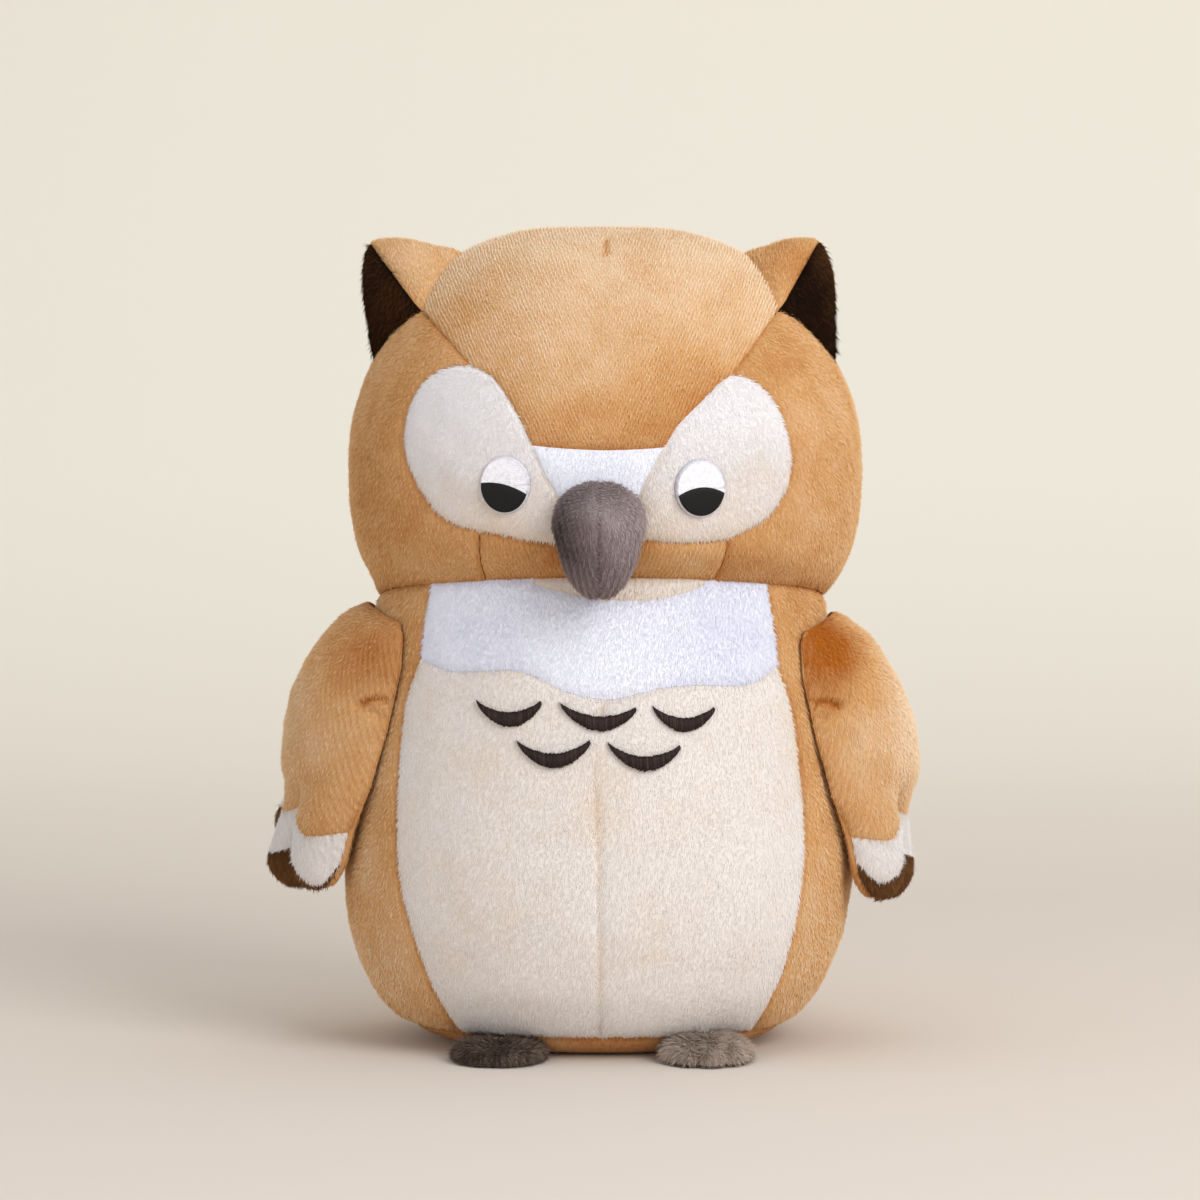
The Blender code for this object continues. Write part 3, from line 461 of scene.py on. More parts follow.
# %% [markdown]
# ## Pile
# Each strand is a thin closed spike of four triangles, rooted on the cloth and leaning with the nap.
# Real plush has far more fibres than a mesh can hold, so one strand stands for a small tuft. Its
# corners take most of their normal from the cloth, so the pile is shaded as one soft surface.

# %% Strands
STRAND_FACES = np.array(((0, 2, 1), (0, 1, 3), (0, 3, 2), (1, 2, 3)))
ROOT_DEPTH, ROOT_RISE, FACE_SHARE = 0.12, 1.3, 0.45


def share_out(grid, count, weight, chance):
    """Cells for the roots, in proportion to cell area times a weight, one root to each equal step of
    the running total, with a random place inside its cell."""
    area = cell_areas(grid)
    load = (area * (weight[:-1, :-1] + weight[1:, 1:]) / 2).ravel()
    total = np.cumsum(load)
    picks = (np.arange(count) + chance.random(count)) / count * total[-1]
    cells = np.minimum(np.searchsorted(total, picks), load.size - 1)
    row, column = np.divmod(cells, area.shape[1])
    return row, column, chance.random(count), chance.random(count)


def read_grid(field, row, column, u, v):
    """A field of the grid at places inside cells: the four corners weighted by distance."""
    if field.ndim == 3:
        u, v = u[:, None], v[:, None]
    low = field[row, column] * (1 - u) + field[row, column + 1] * u
    high = field[row + 1, column] * (1 - u) + field[row + 1, column + 1] * u
    return low * (1 - v) + high * v


def strand_points(roots, normals, naps, lengths, widths, lifts):
    """Four corners of each spike: two beside the root, one above it, and the tip, which lies along
    the nap by the cosine of the lift and away from the cloth by its sine."""
    half = widths[:, None] / 2
    sides = np.cross(normals, naps) * half
    lift = lifts[:, None]
    ends = roots + lengths[:, None] * (naps * np.cos(lift) + normals * np.sin(lift))
    under = normals * ROOT_DEPTH
    return np.stack([roots - sides - under, roots + sides - under, roots + normals * half * ROOT_RISE, ends], axis=1)


def strand_normals(points, normals):
    """Normals of the twelve corners: flat for the root and the underside, and for the two upper
    faces mostly the cloth's own normal."""
    a, b, c, tip = (points[:, k] for k in range(4))
    under = unit(np.cross(b - a, tip - a))
    root = unit(np.cross(c - a, b - a))
    near, far = (unit(unit(np.cross(*face)) * FACE_SHARE + normals) for face in ((tip - a, c - a), (c - b, tip - b)))
    return np.stack([root] * 3 + [under] * 3 + [near] * 3 + [far] * 3, axis=1)


# %% [markdown]
# ## From arrays to a mesh
# Blender takes whole arrays at once: places of points, corners of faces, one value for each point, and
# the directions that shading uses. The map named OFBake keeps a strand's colour at its root.

# %% Mesh from arrays


def mesh_from(name, points, face_sets, material):
    """A mesh object from points in millimetres and arrays of four-sided or three-sided faces."""
    corners = np.concatenate([faces.ravel() for faces in face_sets])
    sizes = np.concatenate([np.full(len(faces), faces.shape[1]) for faces in face_sets])
    mesh = bpy.data.meshes.new(name)
    mesh.vertices.add(len(points))
    mesh.vertices.foreach_set("co", (np.asarray(points) * MM).astype(np.float32).ravel())
    mesh.loops.add(len(corners))
    mesh.loops.foreach_set("vertex_index", corners.astype(np.int32))
    mesh.polygons.add(len(sizes))
    starts = np.concatenate([[0], np.cumsum(sizes)[:-1]])
    mesh.polygons.foreach_set("loop_start", starts.astype(np.int32))
    mesh.update(calc_edges=True)
    mesh.shade_smooth()
    mesh.materials.append(material)
    piece = bpy.data.objects.new(name, mesh)
    bpy.context.collection.objects.link(piece)
    return piece


def give_values(mesh, name, values):
    """One number for each point."""
    mesh.attributes.new(name, "FLOAT", "POINT").data.foreach_set("value", values.astype(np.float32))


def give_map(mesh, places):
    """The piece's own map, one place for each face corner."""
    layer = mesh.uv_layers.new(name="OFBake")
    layer.uv.foreach_set("vector", places.astype(np.float32).ravel())


def belongs(piece, body, slot, *nodes, fill=None):
    """Ties a finished piece to its body and hides the solids that it stands for. Its material slot is not used."""
    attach(piece, body)
    if nodes:
        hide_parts(*nodes)


# %% [markdown]
# ## Sewing one panel
# The grid of a panel is pulled in along its rim, where the seam is, and gets the lumps of the
# stuffing. A second layer under it and a wall round the rim close the cloth. Near the rim of a pale
# panel the pile spills over the seam, as it does round the eye patches and the bib.

# %% Sewing
RIDGE_SPACING = 1.17
MEAN_RADIUS, MIDDLE_LINE = 62, 15
NECK_LEVEL_REACH = 20
FLOOR_GAP = 0.05
# Painted shade within the pile: the cloth and the strand roots sit low on the tip scale, which the finishes paint
# darker.
CLOTH_TIP, STRAND_TIPS = 0.30, (0.15, 0.15, 0.45, 1.0)
OUTER_MAP, INNER_MAP_START, INNER_MAP_SHARE = 0.86, 0.89, 0.11
SEAM_REACH, SEAM_EASE_REACH, SEAM_EASE = 1.3, 5.0, 0.40
PUCKER_SIZE, PUCKER = 4.5, 0.45
SEAM_SHADE, SHADE_REACH = 0.24 / 0.9, 0.8
LUMP_SPOTS = ((24, 3, 0.9), (9, 4, 0.45))
TONE_SPOTS = ((16, 7, 0.10), (5, 8, 0.07))
RIDGE_SPOTS = ((9, 31, 0.5), (3, 32, 0.12))
NAP_SPOT, NAP_SWAY, NAP_CHANCE = 2.2, 0.16, 0.6
TUFT_SPOT = 1.3
SPILL_REACH, SPILL_PULL, SPILL_GROWTH = 1.6, 2.0, 0.5
SHORTEST, LONGEST = 0.35, 2.2
LOWEST, STEEPEST = 0.12, 1.2
FULL_WALL = 2.5
all_strands = []


def shell_faces(rows, columns):
    """Faces of the outer layer, of the inner layer turned round, and of the walls along the rim."""
    index = np.arange(rows * columns).reshape(rows, columns)
    quads = np.stack([index[:-1, :-1], index[:-1, 1:], index[1:, 1:], index[1:, :-1]], -1).reshape(-1, 4)
    rim = np.concatenate([index[0, :-1], index[:-1, -1], index[-1, :0:-1], index[:0:-1, 0]])
    ahead = np.roll(rim, -1)
    shift = rows * columns
    return quads, quads[:, ::-1] + shift, np.stack([ahead, rim, rim + shift, ahead + shift], -1)


def to_rim(grid, edges):
    """Distance and step from each point of the grid to the nearest point of the sewn edges."""
    chosen = {"bottom": grid[0], "top": grid[-1], "left": grid[:, 0], "right": grid[:, -1]}
    rim = np.vstack([chosen[edge] for edge in edges])
    flat = grid.reshape(-1, 3)
    best, step = np.full(len(flat), np.inf), np.zeros_like(flat)
    for part in np.array_split(rim, max(1, len(rim) // 64)):
        gaps = np.linalg.norm(flat[:, None] - part[None], axis=-1)
        which = gaps.argmin(axis=1)
        gap = gaps[np.arange(len(flat)), which]
        nearer = gap < best
        best[nearer] = gap[nearer]
        step[nearer] = (part[which] - flat)[nearer]
    return best.reshape(grid.shape[:2]), step.reshape(grid.shape)


def spotted(points, spots):
    """Smooth fields added up: for each spot size, seed and strength, the strength times the field."""
    return sum(strength * mottle(points, size, seed) for size, seed, strength in spots)


def round_the_toy(points):
    """Length along the cloth round the toy's upright middle line."""
    return MEAN_RADIUS * np.arctan2(points[..., 0], MIDDLE_LINE - points[..., 1])


def straight_across(points):
    """Length across the toy."""
    return points[..., 0]


def pile_ridges(points, across, slant):
    """The knitted ground shows through as fine ridges that run down the cloth. Their height is a sine
    of the length across it plus a slant times the height, with the slant reversed on the other side of
    the middle, so that the ridges of both sides run towards the middle as they go down."""
    warp = across(points) + spotted(points, RIDGE_SPOTS)
    right_share = 0.5 - 0.5 * np.tanh(points[..., 0] / 6)
    lean = slant * points[..., 2]
    right, left = (np.sin(2 * math.pi * (warp + way * lean) / RIDGE_SPACING) for way in (1, -1))
    return (right_share * right + (1 - right_share) * left) * (1 + 0.5 * mottle(points, 2.5, 34))


def at(given, points):
    """A value that holds for all points, or one that is worked out from them."""
    return given(points) if callable(given) else given


def sunk(grid, heart, gap, step, hold, seam, seam_depth, settle, lumps, creases, tone):
    """Cloth and its tone, with painted shade along the seams and in the creases. Each point moves outwards
    by minus the settling, minus the seam's depth times falling exponentials of the distance to the rim,
    plus lumps, minus the creases. Outwards is the normal, and at the rim the way from the heart, level
    near the neck, so that panels keep their seam together."""
    rimward = np.exp(-gap / hold)[..., None]
    over_neck = grid[..., 2:] - NECK_HEIGHT + NECK_SLOPE * grid[..., 1:2]
    level = np.clip(np.abs(over_neck - 2) / NECK_LEVEL_REACH, 0, 1)
    away = unit((grid - heart) * np.concatenate([np.ones_like(level), np.ones_like(level), level], -1))
    outwards = unit(grid_normals(grid) * (1 - rimward) + away * rimward)
    depth = seam_depth * at(seam, grid + step)
    pucker = 1 + PUCKER * mottle(grid + step, PUCKER_SIZE, 11)
    lift = -settle - depth * np.exp(-gap / SEAM_REACH) - SEAM_EASE * depth * pucker * np.exp(-gap / SEAM_EASE_REACH)
    lift += lumps * spotted(grid, LUMP_SPOTS) * np.minimum(gap / 12, 1)
    # Painted shade: the tone is darkened along the seams and in each crease, where the cloth sinks in.
    dark = SEAM_SHADE * depth * np.exp(-gap / SHADE_REACH)
    for run, crease_depth, crease_width, crease_shade in creases:
        apart = np.min([np.linalg.norm(grid - spot, axis=-1) for spot in evenly(run, 40)], axis=0)
        fall = np.exp(-(apart / crease_width) ** 2)
        lift -= crease_depth * fall
        dark += crease_shade * fall
    shade = 0.5 + spotted(grid, TONE_SPOTS) - dark + at(tone, grid)
    return grid + outwards * lift[..., None], shade


def sew(name, grid, material, slot, node_name, body="root", heart=HEAD_HEART,
        edges=("bottom", "top", "left", "right"), strands=3.0, length=1.3, width=0.31, lean=27.0,
        nap=(0.0, -0.25, -1.0), spill=0.0, seam=1.0, seam_depth=0.9, creases=(), tone=0.0, settle=0.6,
        lumps=0.7, thickness=1.5, weight=1.0, seed=1, ridges=1.0, ragged=0.2, hold=1.5,
        across=round_the_toy, slant=0.15):
    """One panel: the sunk cloth, a second layer under it, walls and pile. A strand's nap is the panel's
    own, swayed by a smooth field and by chance, and turned over the rim by the spill. Its length, lean
    and tone follow the ridges and tufts; the tone is painted darker in the furrows between ridges and
    lighter on their crests, as shade and light."""
    if np.sum(grid_normals(grid) * (grid - heart)) < 0:
        grid = grid[:, ::-1]
    gap, step = to_rim(grid, edges)
    cloth, shade = sunk(grid, heart, gap, step, hold, seam, seam_depth, settle, lumps, creases, tone)
    turned = grid_normals(cloth)
    rows, columns = gap.shape
    quads, inner, walls = shell_faces(rows, columns)

    chance = np.random.default_rng(seed)
    cover = at(weight, grid) * np.ones_like(gap)
    count = int(cell_areas(cloth).sum() * strands * cover.mean())
    places = share_out(cloth, count, cover, chance)
    roots, out = read_grid(cloth, *places), unit(read_grid(turned, *places))
    near, rimwards = read_grid(gap, *places), read_grid(step, *places)
    flow = unit(at(nap, roots) + np.zeros_like(roots))
    flow = flow + NAP_SWAY * np.stack([mottle(roots, NAP_SPOT, s) for s in (21, 22, 23)], -1)
    flow = flow + ragged * NAP_CHANCE * chance.normal(size=roots.shape)
    if spill:
        flow = flow + (spill * np.exp(-near / SPILL_REACH))[:, None] * unit(rimwards) * SPILL_PULL
    flow = unit(flow - out * np.sum(flow * out, axis=-1, keepdims=True))
    ridge = ridges * pile_ridges(roots, across, slant)
    tuft = mottle(roots, TUFT_SPOT, 33)
    lengths = length * (1 + ragged * chance.normal(size=count) + 0.15 * ridge + 0.12 * tuft)
    lengths *= (1 + SPILL_GROWTH * np.exp(-near / 1.5)) if spill else (0.75 + 0.25 * np.minimum(near / 1.5, 1))
    lengths = np.clip(lengths, SHORTEST * length, LONGEST * length)
    widths = width * (0.8 + 0.4 * chance.random(count))
    lifts = np.radians(lean + 9 * ridge + 7 * tuft + 5 * chance.normal(size=count)).clip(LOWEST, STEEPEST)
    spikes = strand_points(roots, out, flow, lengths, widths, lifts)
    spikes[..., 2] = np.maximum(spikes[..., 2], FLOOR_GAP)
    # Painted shade and light: strands in the furrows between ridges are darker, and those on the crests lighter.
    shades = read_grid(shade, *places) + 0.12 * ridge + 0.05 * tuft + 0.05 * chance.normal(size=count)

    wall = thickness * (0.1 + 0.9 * np.clip(gap / FULL_WALL, 0, 1))[..., None]
    points = np.vstack([layer.reshape(-1, 3) for layer in (cloth, cloth - turned * wall, spikes)])
    start = rows * columns
    spike_faces = (2 * start + 4 * np.arange(count)[:, None, None] + STRAND_FACES).reshape(-1, 3)
    piece = mesh_from(name, points, (quads, inner, walls, spike_faces), material)
    u, v = np.meshgrid(np.linspace(0.01, 0.99, columns), np.linspace(0.01, OUTER_MAP, rows))
    outer_map = np.stack([u, v], -1)
    inner_map = np.stack([u, INNER_MAP_START + v * INNER_MAP_SHARE], -1)
    flat = outer_map.reshape(-1, 2)
    give_map(piece.data, np.vstack([flat[quads.ravel()], inner_map.reshape(-1, 2)[(inner - start).ravel()],
                                    flat[(walls % start).ravel()],
                                    np.repeat(read_grid(outer_map, *places), 12, axis=0)]))
    give_values(piece.data, "tone", np.concatenate([shade.ravel(), shade.ravel(), np.repeat(shades, 4)]))
    give_values(piece.data, "tip", np.concatenate([np.full(2 * start, CLOTH_TIP), np.tile(STRAND_TIPS, count)]))
    cloth_normals = turned.reshape(-1, 3)
    corners = points[walls]
    wall_normals = unit(np.cross(corners[:, 2] - corners[:, 0], corners[:, 3] - corners[:, 1]))
    directions = np.vstack([cloth_normals[quads.ravel()], -cloth_normals[(inner - start).ravel()],
                            np.repeat(wall_normals, 4, axis=0), strand_normals(spikes, out).reshape(-1, 3)])
    piece.data.normals_split_custom_set(directions.astype(np.float32))
    belongs(piece, body, slot, node_name, fill=0.7)
    all_strands.append(count)
    print(f"{name}: {rows} x {columns} points, {count} strands")


# %% [markdown]
# ## Head panels
# The picture shows the forehead as a V between the eye patches, the cheeks outside them and a chin
# panel below. The pixel runs below follow those seams, each side for itself, because a sewn toy is
# never quite even. The head's side seam and the centre back seam are guesses.

# %% Seams of the head
SEAM_FOOT, CROWN_CORNER, CROWN_TOP = 147.8, 254.6, 270.6
HEAD_RUNS = {
    "right": {"brow_side": [(576, 543), (568, 520), (557, 497), (543, 475), (530, 446)],
              "inner": [(530, 446), (517, 418), (505, 397), (490, 376)],
              "crest": [(490, 376), (480, 370), (468, 365)],
              "diagonal": [(468, 365), (444, 337), (420, 311)],
              "outer": [(476, 532), (450, 525), (430, 509), (414, 485), (404, 460), (401, 438), (405, 411),
                        (419, 383), (438, 369), (455, 364), (468, 365)],
              "bottom": [(476, 532), (500, 536), (525, 541), (553, 544), (576, 543)]},
    "left": {"brow_side": [(626, 542), (633, 520), (642, 492), (653, 470), (666, 448)],
             "inner": [(666, 448), (681, 424), (699, 406), (714, 391)],
             "crest": [(714, 391), (724, 381), (735, 374)],
             "diagonal": [(735, 374), (757, 343), (780, 311)],
             "outer": [(731, 540), (760, 526), (780, 508), (791, 485), (795, 460), (790, 432), (781, 408),
                       (768, 390), (752, 378), (735, 374)],
             "bottom": [(626, 542), (650, 541), (675, 543), (703, 543), (731, 540)]},
}


def side_seam(sign):
    """The seam a little behind the middle: across is the half width where back equals the seam's
    depth, solved from the rounded section."""
    z = np.linspace(SEAM_FOOT, CROWN_CORNER, 60)
    wide, deep = half_sizes(HEAD, sign + 0 * z, z)
    return np.column_stack([sign * flank(wide, HEAD_SEAM / deep), HEAD_SEAM + 0 * z, z])


def height_at(x, y):
    """Height of the crown over a place."""
    return crossing(lambda z: fullness(HEAD, np.column_stack([x, y, z])) < 1,
                    np.full(len(x), 200.0), np.full(len(x), CROWN_TOP), halvings=26)


def crown_line(start, stop, count):
    """The seam over the crown between two places across."""
    x = np.linspace(start, stop, count)
    y = np.full(count, HEAD_SEAM)
    return np.column_stack([x, y, height_at(x, y)])


def head_seams(side, sign):
    """All the seams of one side of the head."""
    seams = SimpleNamespace(**{name: seam_on(HEAD, run) for name, run in HEAD_RUNS[side].items()})
    seams.side = side_seam(sign)
    under_ear = evenly(np.vstack([seams.diagonal[-1], seams.side[-1]]), 20)
    seams.under_ear = onto(HEAD, under_ear, HEAD_HEART)
    seams.turn = turn_of(HEAD, seams.side[:1])[0]
    return seams


head = {side: head_seams(side, sign) for side, sign in SIDES}
brow_top = seam_on(HEAD, [(530, 446), (560, 449), (600, 451), (640, 450), (666, 448)])
brow_bottom = seam_on(HEAD, [(576, 543), (601, 540), (626, 542)])
crown_seam = crown_line(head["right"].side[-1, 0], head["left"].side[-1, 0], 60)
neck_turns = [turn_of(HEAD, seen_on(HEAD, [pixel]))[0] for pixel in ((478, 584), (727, 584))]
chin_bottom = neck_ring(HEAD, np.linspace(*neck_turns, 40))
for (side, _), corner, neck in zip(SIDES, chin_bottom[[0, -1]], neck_turns):
    head[side].chin = evenly(np.vstack([corner, head[side].outer[0]]), 6)
    head[side].neck = neck
print("forehead seam lengths:", [round(length_of(head[side].diagonal)) for side, _ in SIDES])

# %% [markdown]
# The nap of the forehead runs down and forward from the crown. It is pale where it lies flat and
# deeper orange low down and at the seams, partly where it turns and partly as painted shade. A short
# dart takes in the crown.

# %% Forehead, brow and chin


def glow(spots):
    """Tone to add: for each spot of place, reach and strength, the strength times a bell curve."""
    def tone(points):
        total = 0.0
        for place, reach, strength in spots:
            away = np.linalg.norm(points - np.array(place), axis=-1)
            total = total + strength * np.exp(-(away / reach) ** 2)
        return total
    return tone


# The dart is laid in as a crease, so shade is also painted along it.
dart = seen_on(HEAD, [(606, 237), (605, 244), (605, 252)])
dart[0, 2] = height_at(dart[:1, 0], dart[:1, 1])[0]
forehead_spots = glow([((34, -60, 216), 15, -0.14), ((-44, -44, 243), 15, -0.20), ((44, -44, 246), 14, -0.08)])


def forehead_tone_and_shade(points):
    """Paler towards the crown, deeper towards the brow, most of all on the left side: partly turned nap and partly
    painted shade.
    """
    x, z = points[..., 0], points[..., 2]
    low = np.exp(-((z - 206) / 12) ** 2) * (0.17 + 0.08 * np.clip(x / 25, -1, 1))
    return 0.14 + 0.16 * np.clip((z - 226) / 36, -1, 1) - low + forehead_spots(points)


forehead_sides = [joined(seams.inner, seams.crest, seams.diagonal, seams.under_ear) for seams in head.values()]
sew("forehead_plush", head_patch(brow_top, crown_seam, *forehead_sides, 1.4), caramel, "caramel_plush",
    "forehead_panel", tone=forehead_tone_and_shade, nap=(0, 0.35, 1.0), creases=[(dart, 1.2, 0.8, 0.5)], seed=11,
    ridges=2.3, length=1.05, width=0.29, strands=3.4, across=straight_across, slant=0.45)
sew("brow_plush", head_patch(brow_bottom, brow_top, head["right"].brow_side, head["left"].brow_side, 1.2), white,
    "white_plush", "brow_patch", length=1.0, lean=18, strands=4.0, width=0.26, spill=0.1, seed=12)
chin_top = joined(head["right"].bottom, brow_bottom, head["left"].bottom)
sew("chin_plush", head_patch(chin_bottom, chin_top, head["right"].chin, head["left"].chin), caramel,
    "caramel_plush", "chin_panel", tone=glow([((0, -72, 166), 44, -0.24), ((30, -66, 160), 16, 0.14)]),
    seed=13, seam_depth=1.2)

# %% [markdown]
# The eye patches are cream, with the nap running down and outwards. Their long edge pile spills over
# the caramel all round, which hides the seam and gives the ragged outline of the picture.

# %% Eye patches and cheeks


def face_nap(aside, back):
    """Nap of the face: down, and a little away from the middle."""
    def nap(points):
        return np.stack([aside * np.sign(points[:, 0]), back + 0 * points[:, 0], -1 + 0 * points[:, 0]], -1)
    return nap


def split_at(run, share, count=121):
    """A run cut in two at a share of its length."""
    whole = evenly(run, count)
    cut = int(round(share * (count - 1)))
    return whole[:cut + 1], whole[cut:]


def patch_tone(points):
    """Warmer below, whiter above."""
    return np.clip((points[..., 2] - 194) / 70, -0.28, 0.22)


def cheek_cover(points):
    """Full pile in front, thinner towards the side seam."""
    return np.clip(1 - (points[..., 1] + 15) / 60, 0.6, 1)


for side, sign in SIDES:
    seams = head[side]
    low, rest = split_at(seams.outer, 0.22)
    far, high = split_at(rest, 0.70)
    base = joined(low[::-1], seams.bottom[::-sign])
    top, inner_side = joined(high, seams.crest[::-1]), joined(seams.brow_side, seams.inner)
    sew(f"{side}_eye_patch_plush", head_patch(*turned_round(sign > 0, base, top, far, inner_side)), patch_cream,
        "cream_plush", f"{side}_eye_patch", tone=patch_tone, length=1.25, spill=0.6, strands=3.9,
        nap=face_nap(0.35, -0.1), seed=20 + sign, ridges=0.25)

for side, sign in SIDES:
    seams = head[side]
    inner = joined(seams.chin, seams.outer, seams.diagonal)
    base = neck_ring(HEAD, np.linspace(seams.neck, seams.turn, 60))
    # The last tone spot reaches only the toy's right cheek. It is painted shade on the side away from the light.
    sew(f"{side}_cheek_plush", head_patch(*turned_round(sign < 0, base, seams.under_ear, inner, seams.side)),
        caramel, "caramel_plush", f"{side}_cheek_panel", weight=cheek_cover, nap=face_nap(0.25, 0), seed=30 + sign,
        tone=glow([((sign * 58, -42, 236), 14, -0.12), ((sign * 80, -10, 175), 26, -0.08),
                   ((sign * 45, -60, 165), 22, -0.12), ((-72, -35, 190), 26, -0.10)]))

# %% [markdown]
# The back of the head is not in the picture. Two panels with a centre seam close it, as on most toys
# of this make. Its pile is a little thinner to keep the model light.

# %% Back of the head
BACK_TOP = 269.6
for side, sign in SIDES:
    seams = head[side]
    base = neck_ring(HEAD, np.linspace(seams.turn, sign * math.pi, 80))
    z = np.linspace(base[-1, 2], BACK_TOP, 80)
    back = np.column_stack([0 * z, half_sizes(HEAD, 0 * z, z)[1], z])
    back = joined(back[back[:, 1] > HEAD_SEAM], crown_line(0, 0, 2))
    half_crown = crown_line(seams.side[-1, 0], 0, 40)
    sew(f"{side}_head_back_plush",
        head_patch(*turned_round(sign < 0, base, half_crown, seams.side, back), spacing=2.3), caramel,
        "caramel_plush", f"{side}_head_back_panel", nap=(0, 0.7, -1), strands=1.15, width=0.46, length=1.6,
        seed=40 + sign)

# %% [markdown]
# ## Body panels
# The white bib ends in a wavy seam over the cream belly, and a small cream lens, the collar, shows
# under the beak. The belly's centre seam is pulled in only below the embroidery, so its depth falls
# to nothing there. The neck seam is the deepest, because the stuffed head rolls over it.

# %% Seams of the body
BIB_SIDES = {"right": [(418, 655), (421, 628), (427, 590)], "left": [(780, 662), (777, 630), (771, 594)]}
BIB_WAVE = [(418, 655), (432, 662), (450, 668), (480, 668), (512, 667), (535, 674), (560, 687), (585, 694),
            (610, 697), (635, 692), (665, 685), (700, 682), (730, 683), (757, 680), (780, 662)]
BELLY_SIDES = {"right": [(465, 1042), (448, 1020), (428, 985), (408, 930), (396, 880), (393, 830), (396, 760),
                         (403, 700), (418, 655)],
               "left": [(748, 1040), (767, 1012), (785, 975), (798, 930), (806, 880), (808, 830), (803, 770),
                        (795, 710), (780, 662)]}
BELLY_MIDDLE = [(600, 1043), (600, 960), (599, 880), (597, 810), (597, 760), (604, 697)]
COLLAR_LOW = [(530, 582), (556, 589), (590, 595), (630, 598), (662, 596), (690, 590), (708, 583)]


def above_base(pixels):
    """A seam of the body without what would lie below the base seam."""
    run = seam_on(BODY, pixels)
    return run[run[:, 2] > BASE_SEAM + 0.6]


def ring_at(height, start, stop, count=80):
    """A level ring of the body between two angles."""
    return around(BODY, np.linspace(start, stop, count), np.full(count, height))


bib_side = {side: seam_on(BODY, run) for side, run in BIB_SIDES.items()}
bib_bottom = seam_on(BODY, BIB_WAVE)
belly_side = {side: above_base(run) for side, run in BELLY_SIDES.items()}
middle = above_base(BELLY_MIDDLE)
low_turn = {side: turn_of(BODY, run[:1])[0] for side, run in belly_side.items()}
mid_turn = turn_of(BODY, middle[:1])[0]
top_turn = {side: turn_of(BODY, run[-1:])[0] for side, run in bib_side.items()}
collar_turn = [turn_of(BODY, seen_on(BODY, [pixel]))[0] for pixel in (COLLAR_LOW[0], COLLAR_LOW[-1])]
collar_low = seam_on(BODY, COLLAR_LOW)
collar_top = neck_ring(BODY, np.linspace(*collar_turn, 40))
collar_low[0], collar_low[-1] = collar_top[0], collar_top[-1]
bib_top = joined(neck_ring(BODY, np.linspace(top_turn["right"], collar_turn[0], 30)), collar_low,
                 neck_ring(BODY, np.linspace(collar_turn[1], top_turn["left"], 20)))
bib_side["right"][-1], bib_side["left"][-1] = bib_top[0], bib_top[-1]


def belly_seam_depth(points):
    """Full at the outer seams. On the centre seam it rises from nothing over the crescents to full
    below them."""
    x, z = points[..., 0], points[..., 2]
    centre = (np.abs(x) < 4) & (z > 12) & (z < 113)
    return np.where(centre, 0.75 * np.clip((98 - z) / 10, 0, 1), 1.0)


def belly_painted_light(points):
    """Painted light: paler towards the base, which stands in its own shade, as light thrown up from the floor would
    make it.
    """
    return 0.10 * np.clip((40 - points[..., 2]) / 30, 0, 1)


def side_cover(points):
    """Full pile in front, thinner towards the back."""
    return np.clip(1.0 - (points[..., 1] + 10) / 45, 0.45, 1.0)


def base_cover(points):
    """Full pile round the edge, little underneath."""
    return np.clip(points[..., 2] / 3, 0.25, 3.0)


# %% Bib, collar, belly, sides and base
sew("bib_plush", body_patch(bib_bottom, bib_top, bib_side["right"], bib_side["left"]), white, "white_plush",
    "bib_panel", heart=BODY_HEART, length=1.25, strands=3.6, spill=0.5, seed=51, ridges=0.0, ragged=0.14,
    seam_depth=0.8, tone=glow([((-45, -55, 140), 26, -0.30), ((45, -55, 140), 30, -0.50)]))
collar_ends = [collar_low[place].repeat(2, 0) for place in (slice(0, 1), slice(-1, None))]
sew("collar_plush", body_patch(collar_low, collar_top, *collar_ends, spacing=1.0)[:, 1:-1], cream, "cream_plush",
    "collar_panel", heart=BODY_HEART, length=1.3, spill=0.3, seed=52, seam_depth=0.7,
    tone=glow([((0, -60, 155), 40, -0.06)]))
for side, sign in SIDES:
    base = ring_at(BASE_SEAM, low_turn[side], mid_turn)
    whole = evenly(bib_bottom, 201)
    cut = np.argmin(np.abs(whole[:, 0] - middle[-1, 0]))
    crest = whole[:cut + 1] if sign < 0 else whole[cut:][::-1]
    crest[-1] = middle[-1]
    outer, centre_run = belly_side[side].copy(), middle.copy()
    outer[0], centre_run[0] = base[0], base[-1]
    sew(f"{side}_belly_plush", body_patch(*turned_round(sign > 0, base, crest, outer, centre_run)), cream,
        "cream_plush", f"{side}_belly_panel", heart=BODY_HEART, seam=belly_seam_depth, tone=belly_painted_light,
        length=1.2, strands=2.7, spill=0.3, seed=60 + sign, ridges=0.3, lumps=0.5)

for side, sign in SIDES:
    base = ring_at(BASE_SEAM, low_turn[side], sign * math.pi, 160)
    crest = neck_ring(BODY, np.linspace(top_turn[side], sign * math.pi, 120))
    front = joined(belly_side[side], bib_side[side])
    front[0], front[-1] = base[0], crest[0]
    back_place = sign * math.pi * UNROLLED
    back = np.column_stack([np.full(60, back_place), np.linspace(base[-1, 2], crest[-1, 2], 60)])
    low, high = unrolled(base), unrolled(crest)
    low[-1, 0] = high[-1, 0] = back_place
    sew(f"{side}_side_plush", body_patch(*turned_round(sign < 0, low, high, unrolled(front), back), spacing=2.2),
        caramel, "caramel_plush", f"{side}_side_panel", heart=BODY_HEART, nap=(0, 0, -1), strands=1.95, width=0.40,
        length=1.4, weight=side_cover, seed=70 + sign,
        tone=glow([((sign * 70, -40, 140), 18, -0.06), ((sign * 75, -30, 30), 30, 0.10)]))

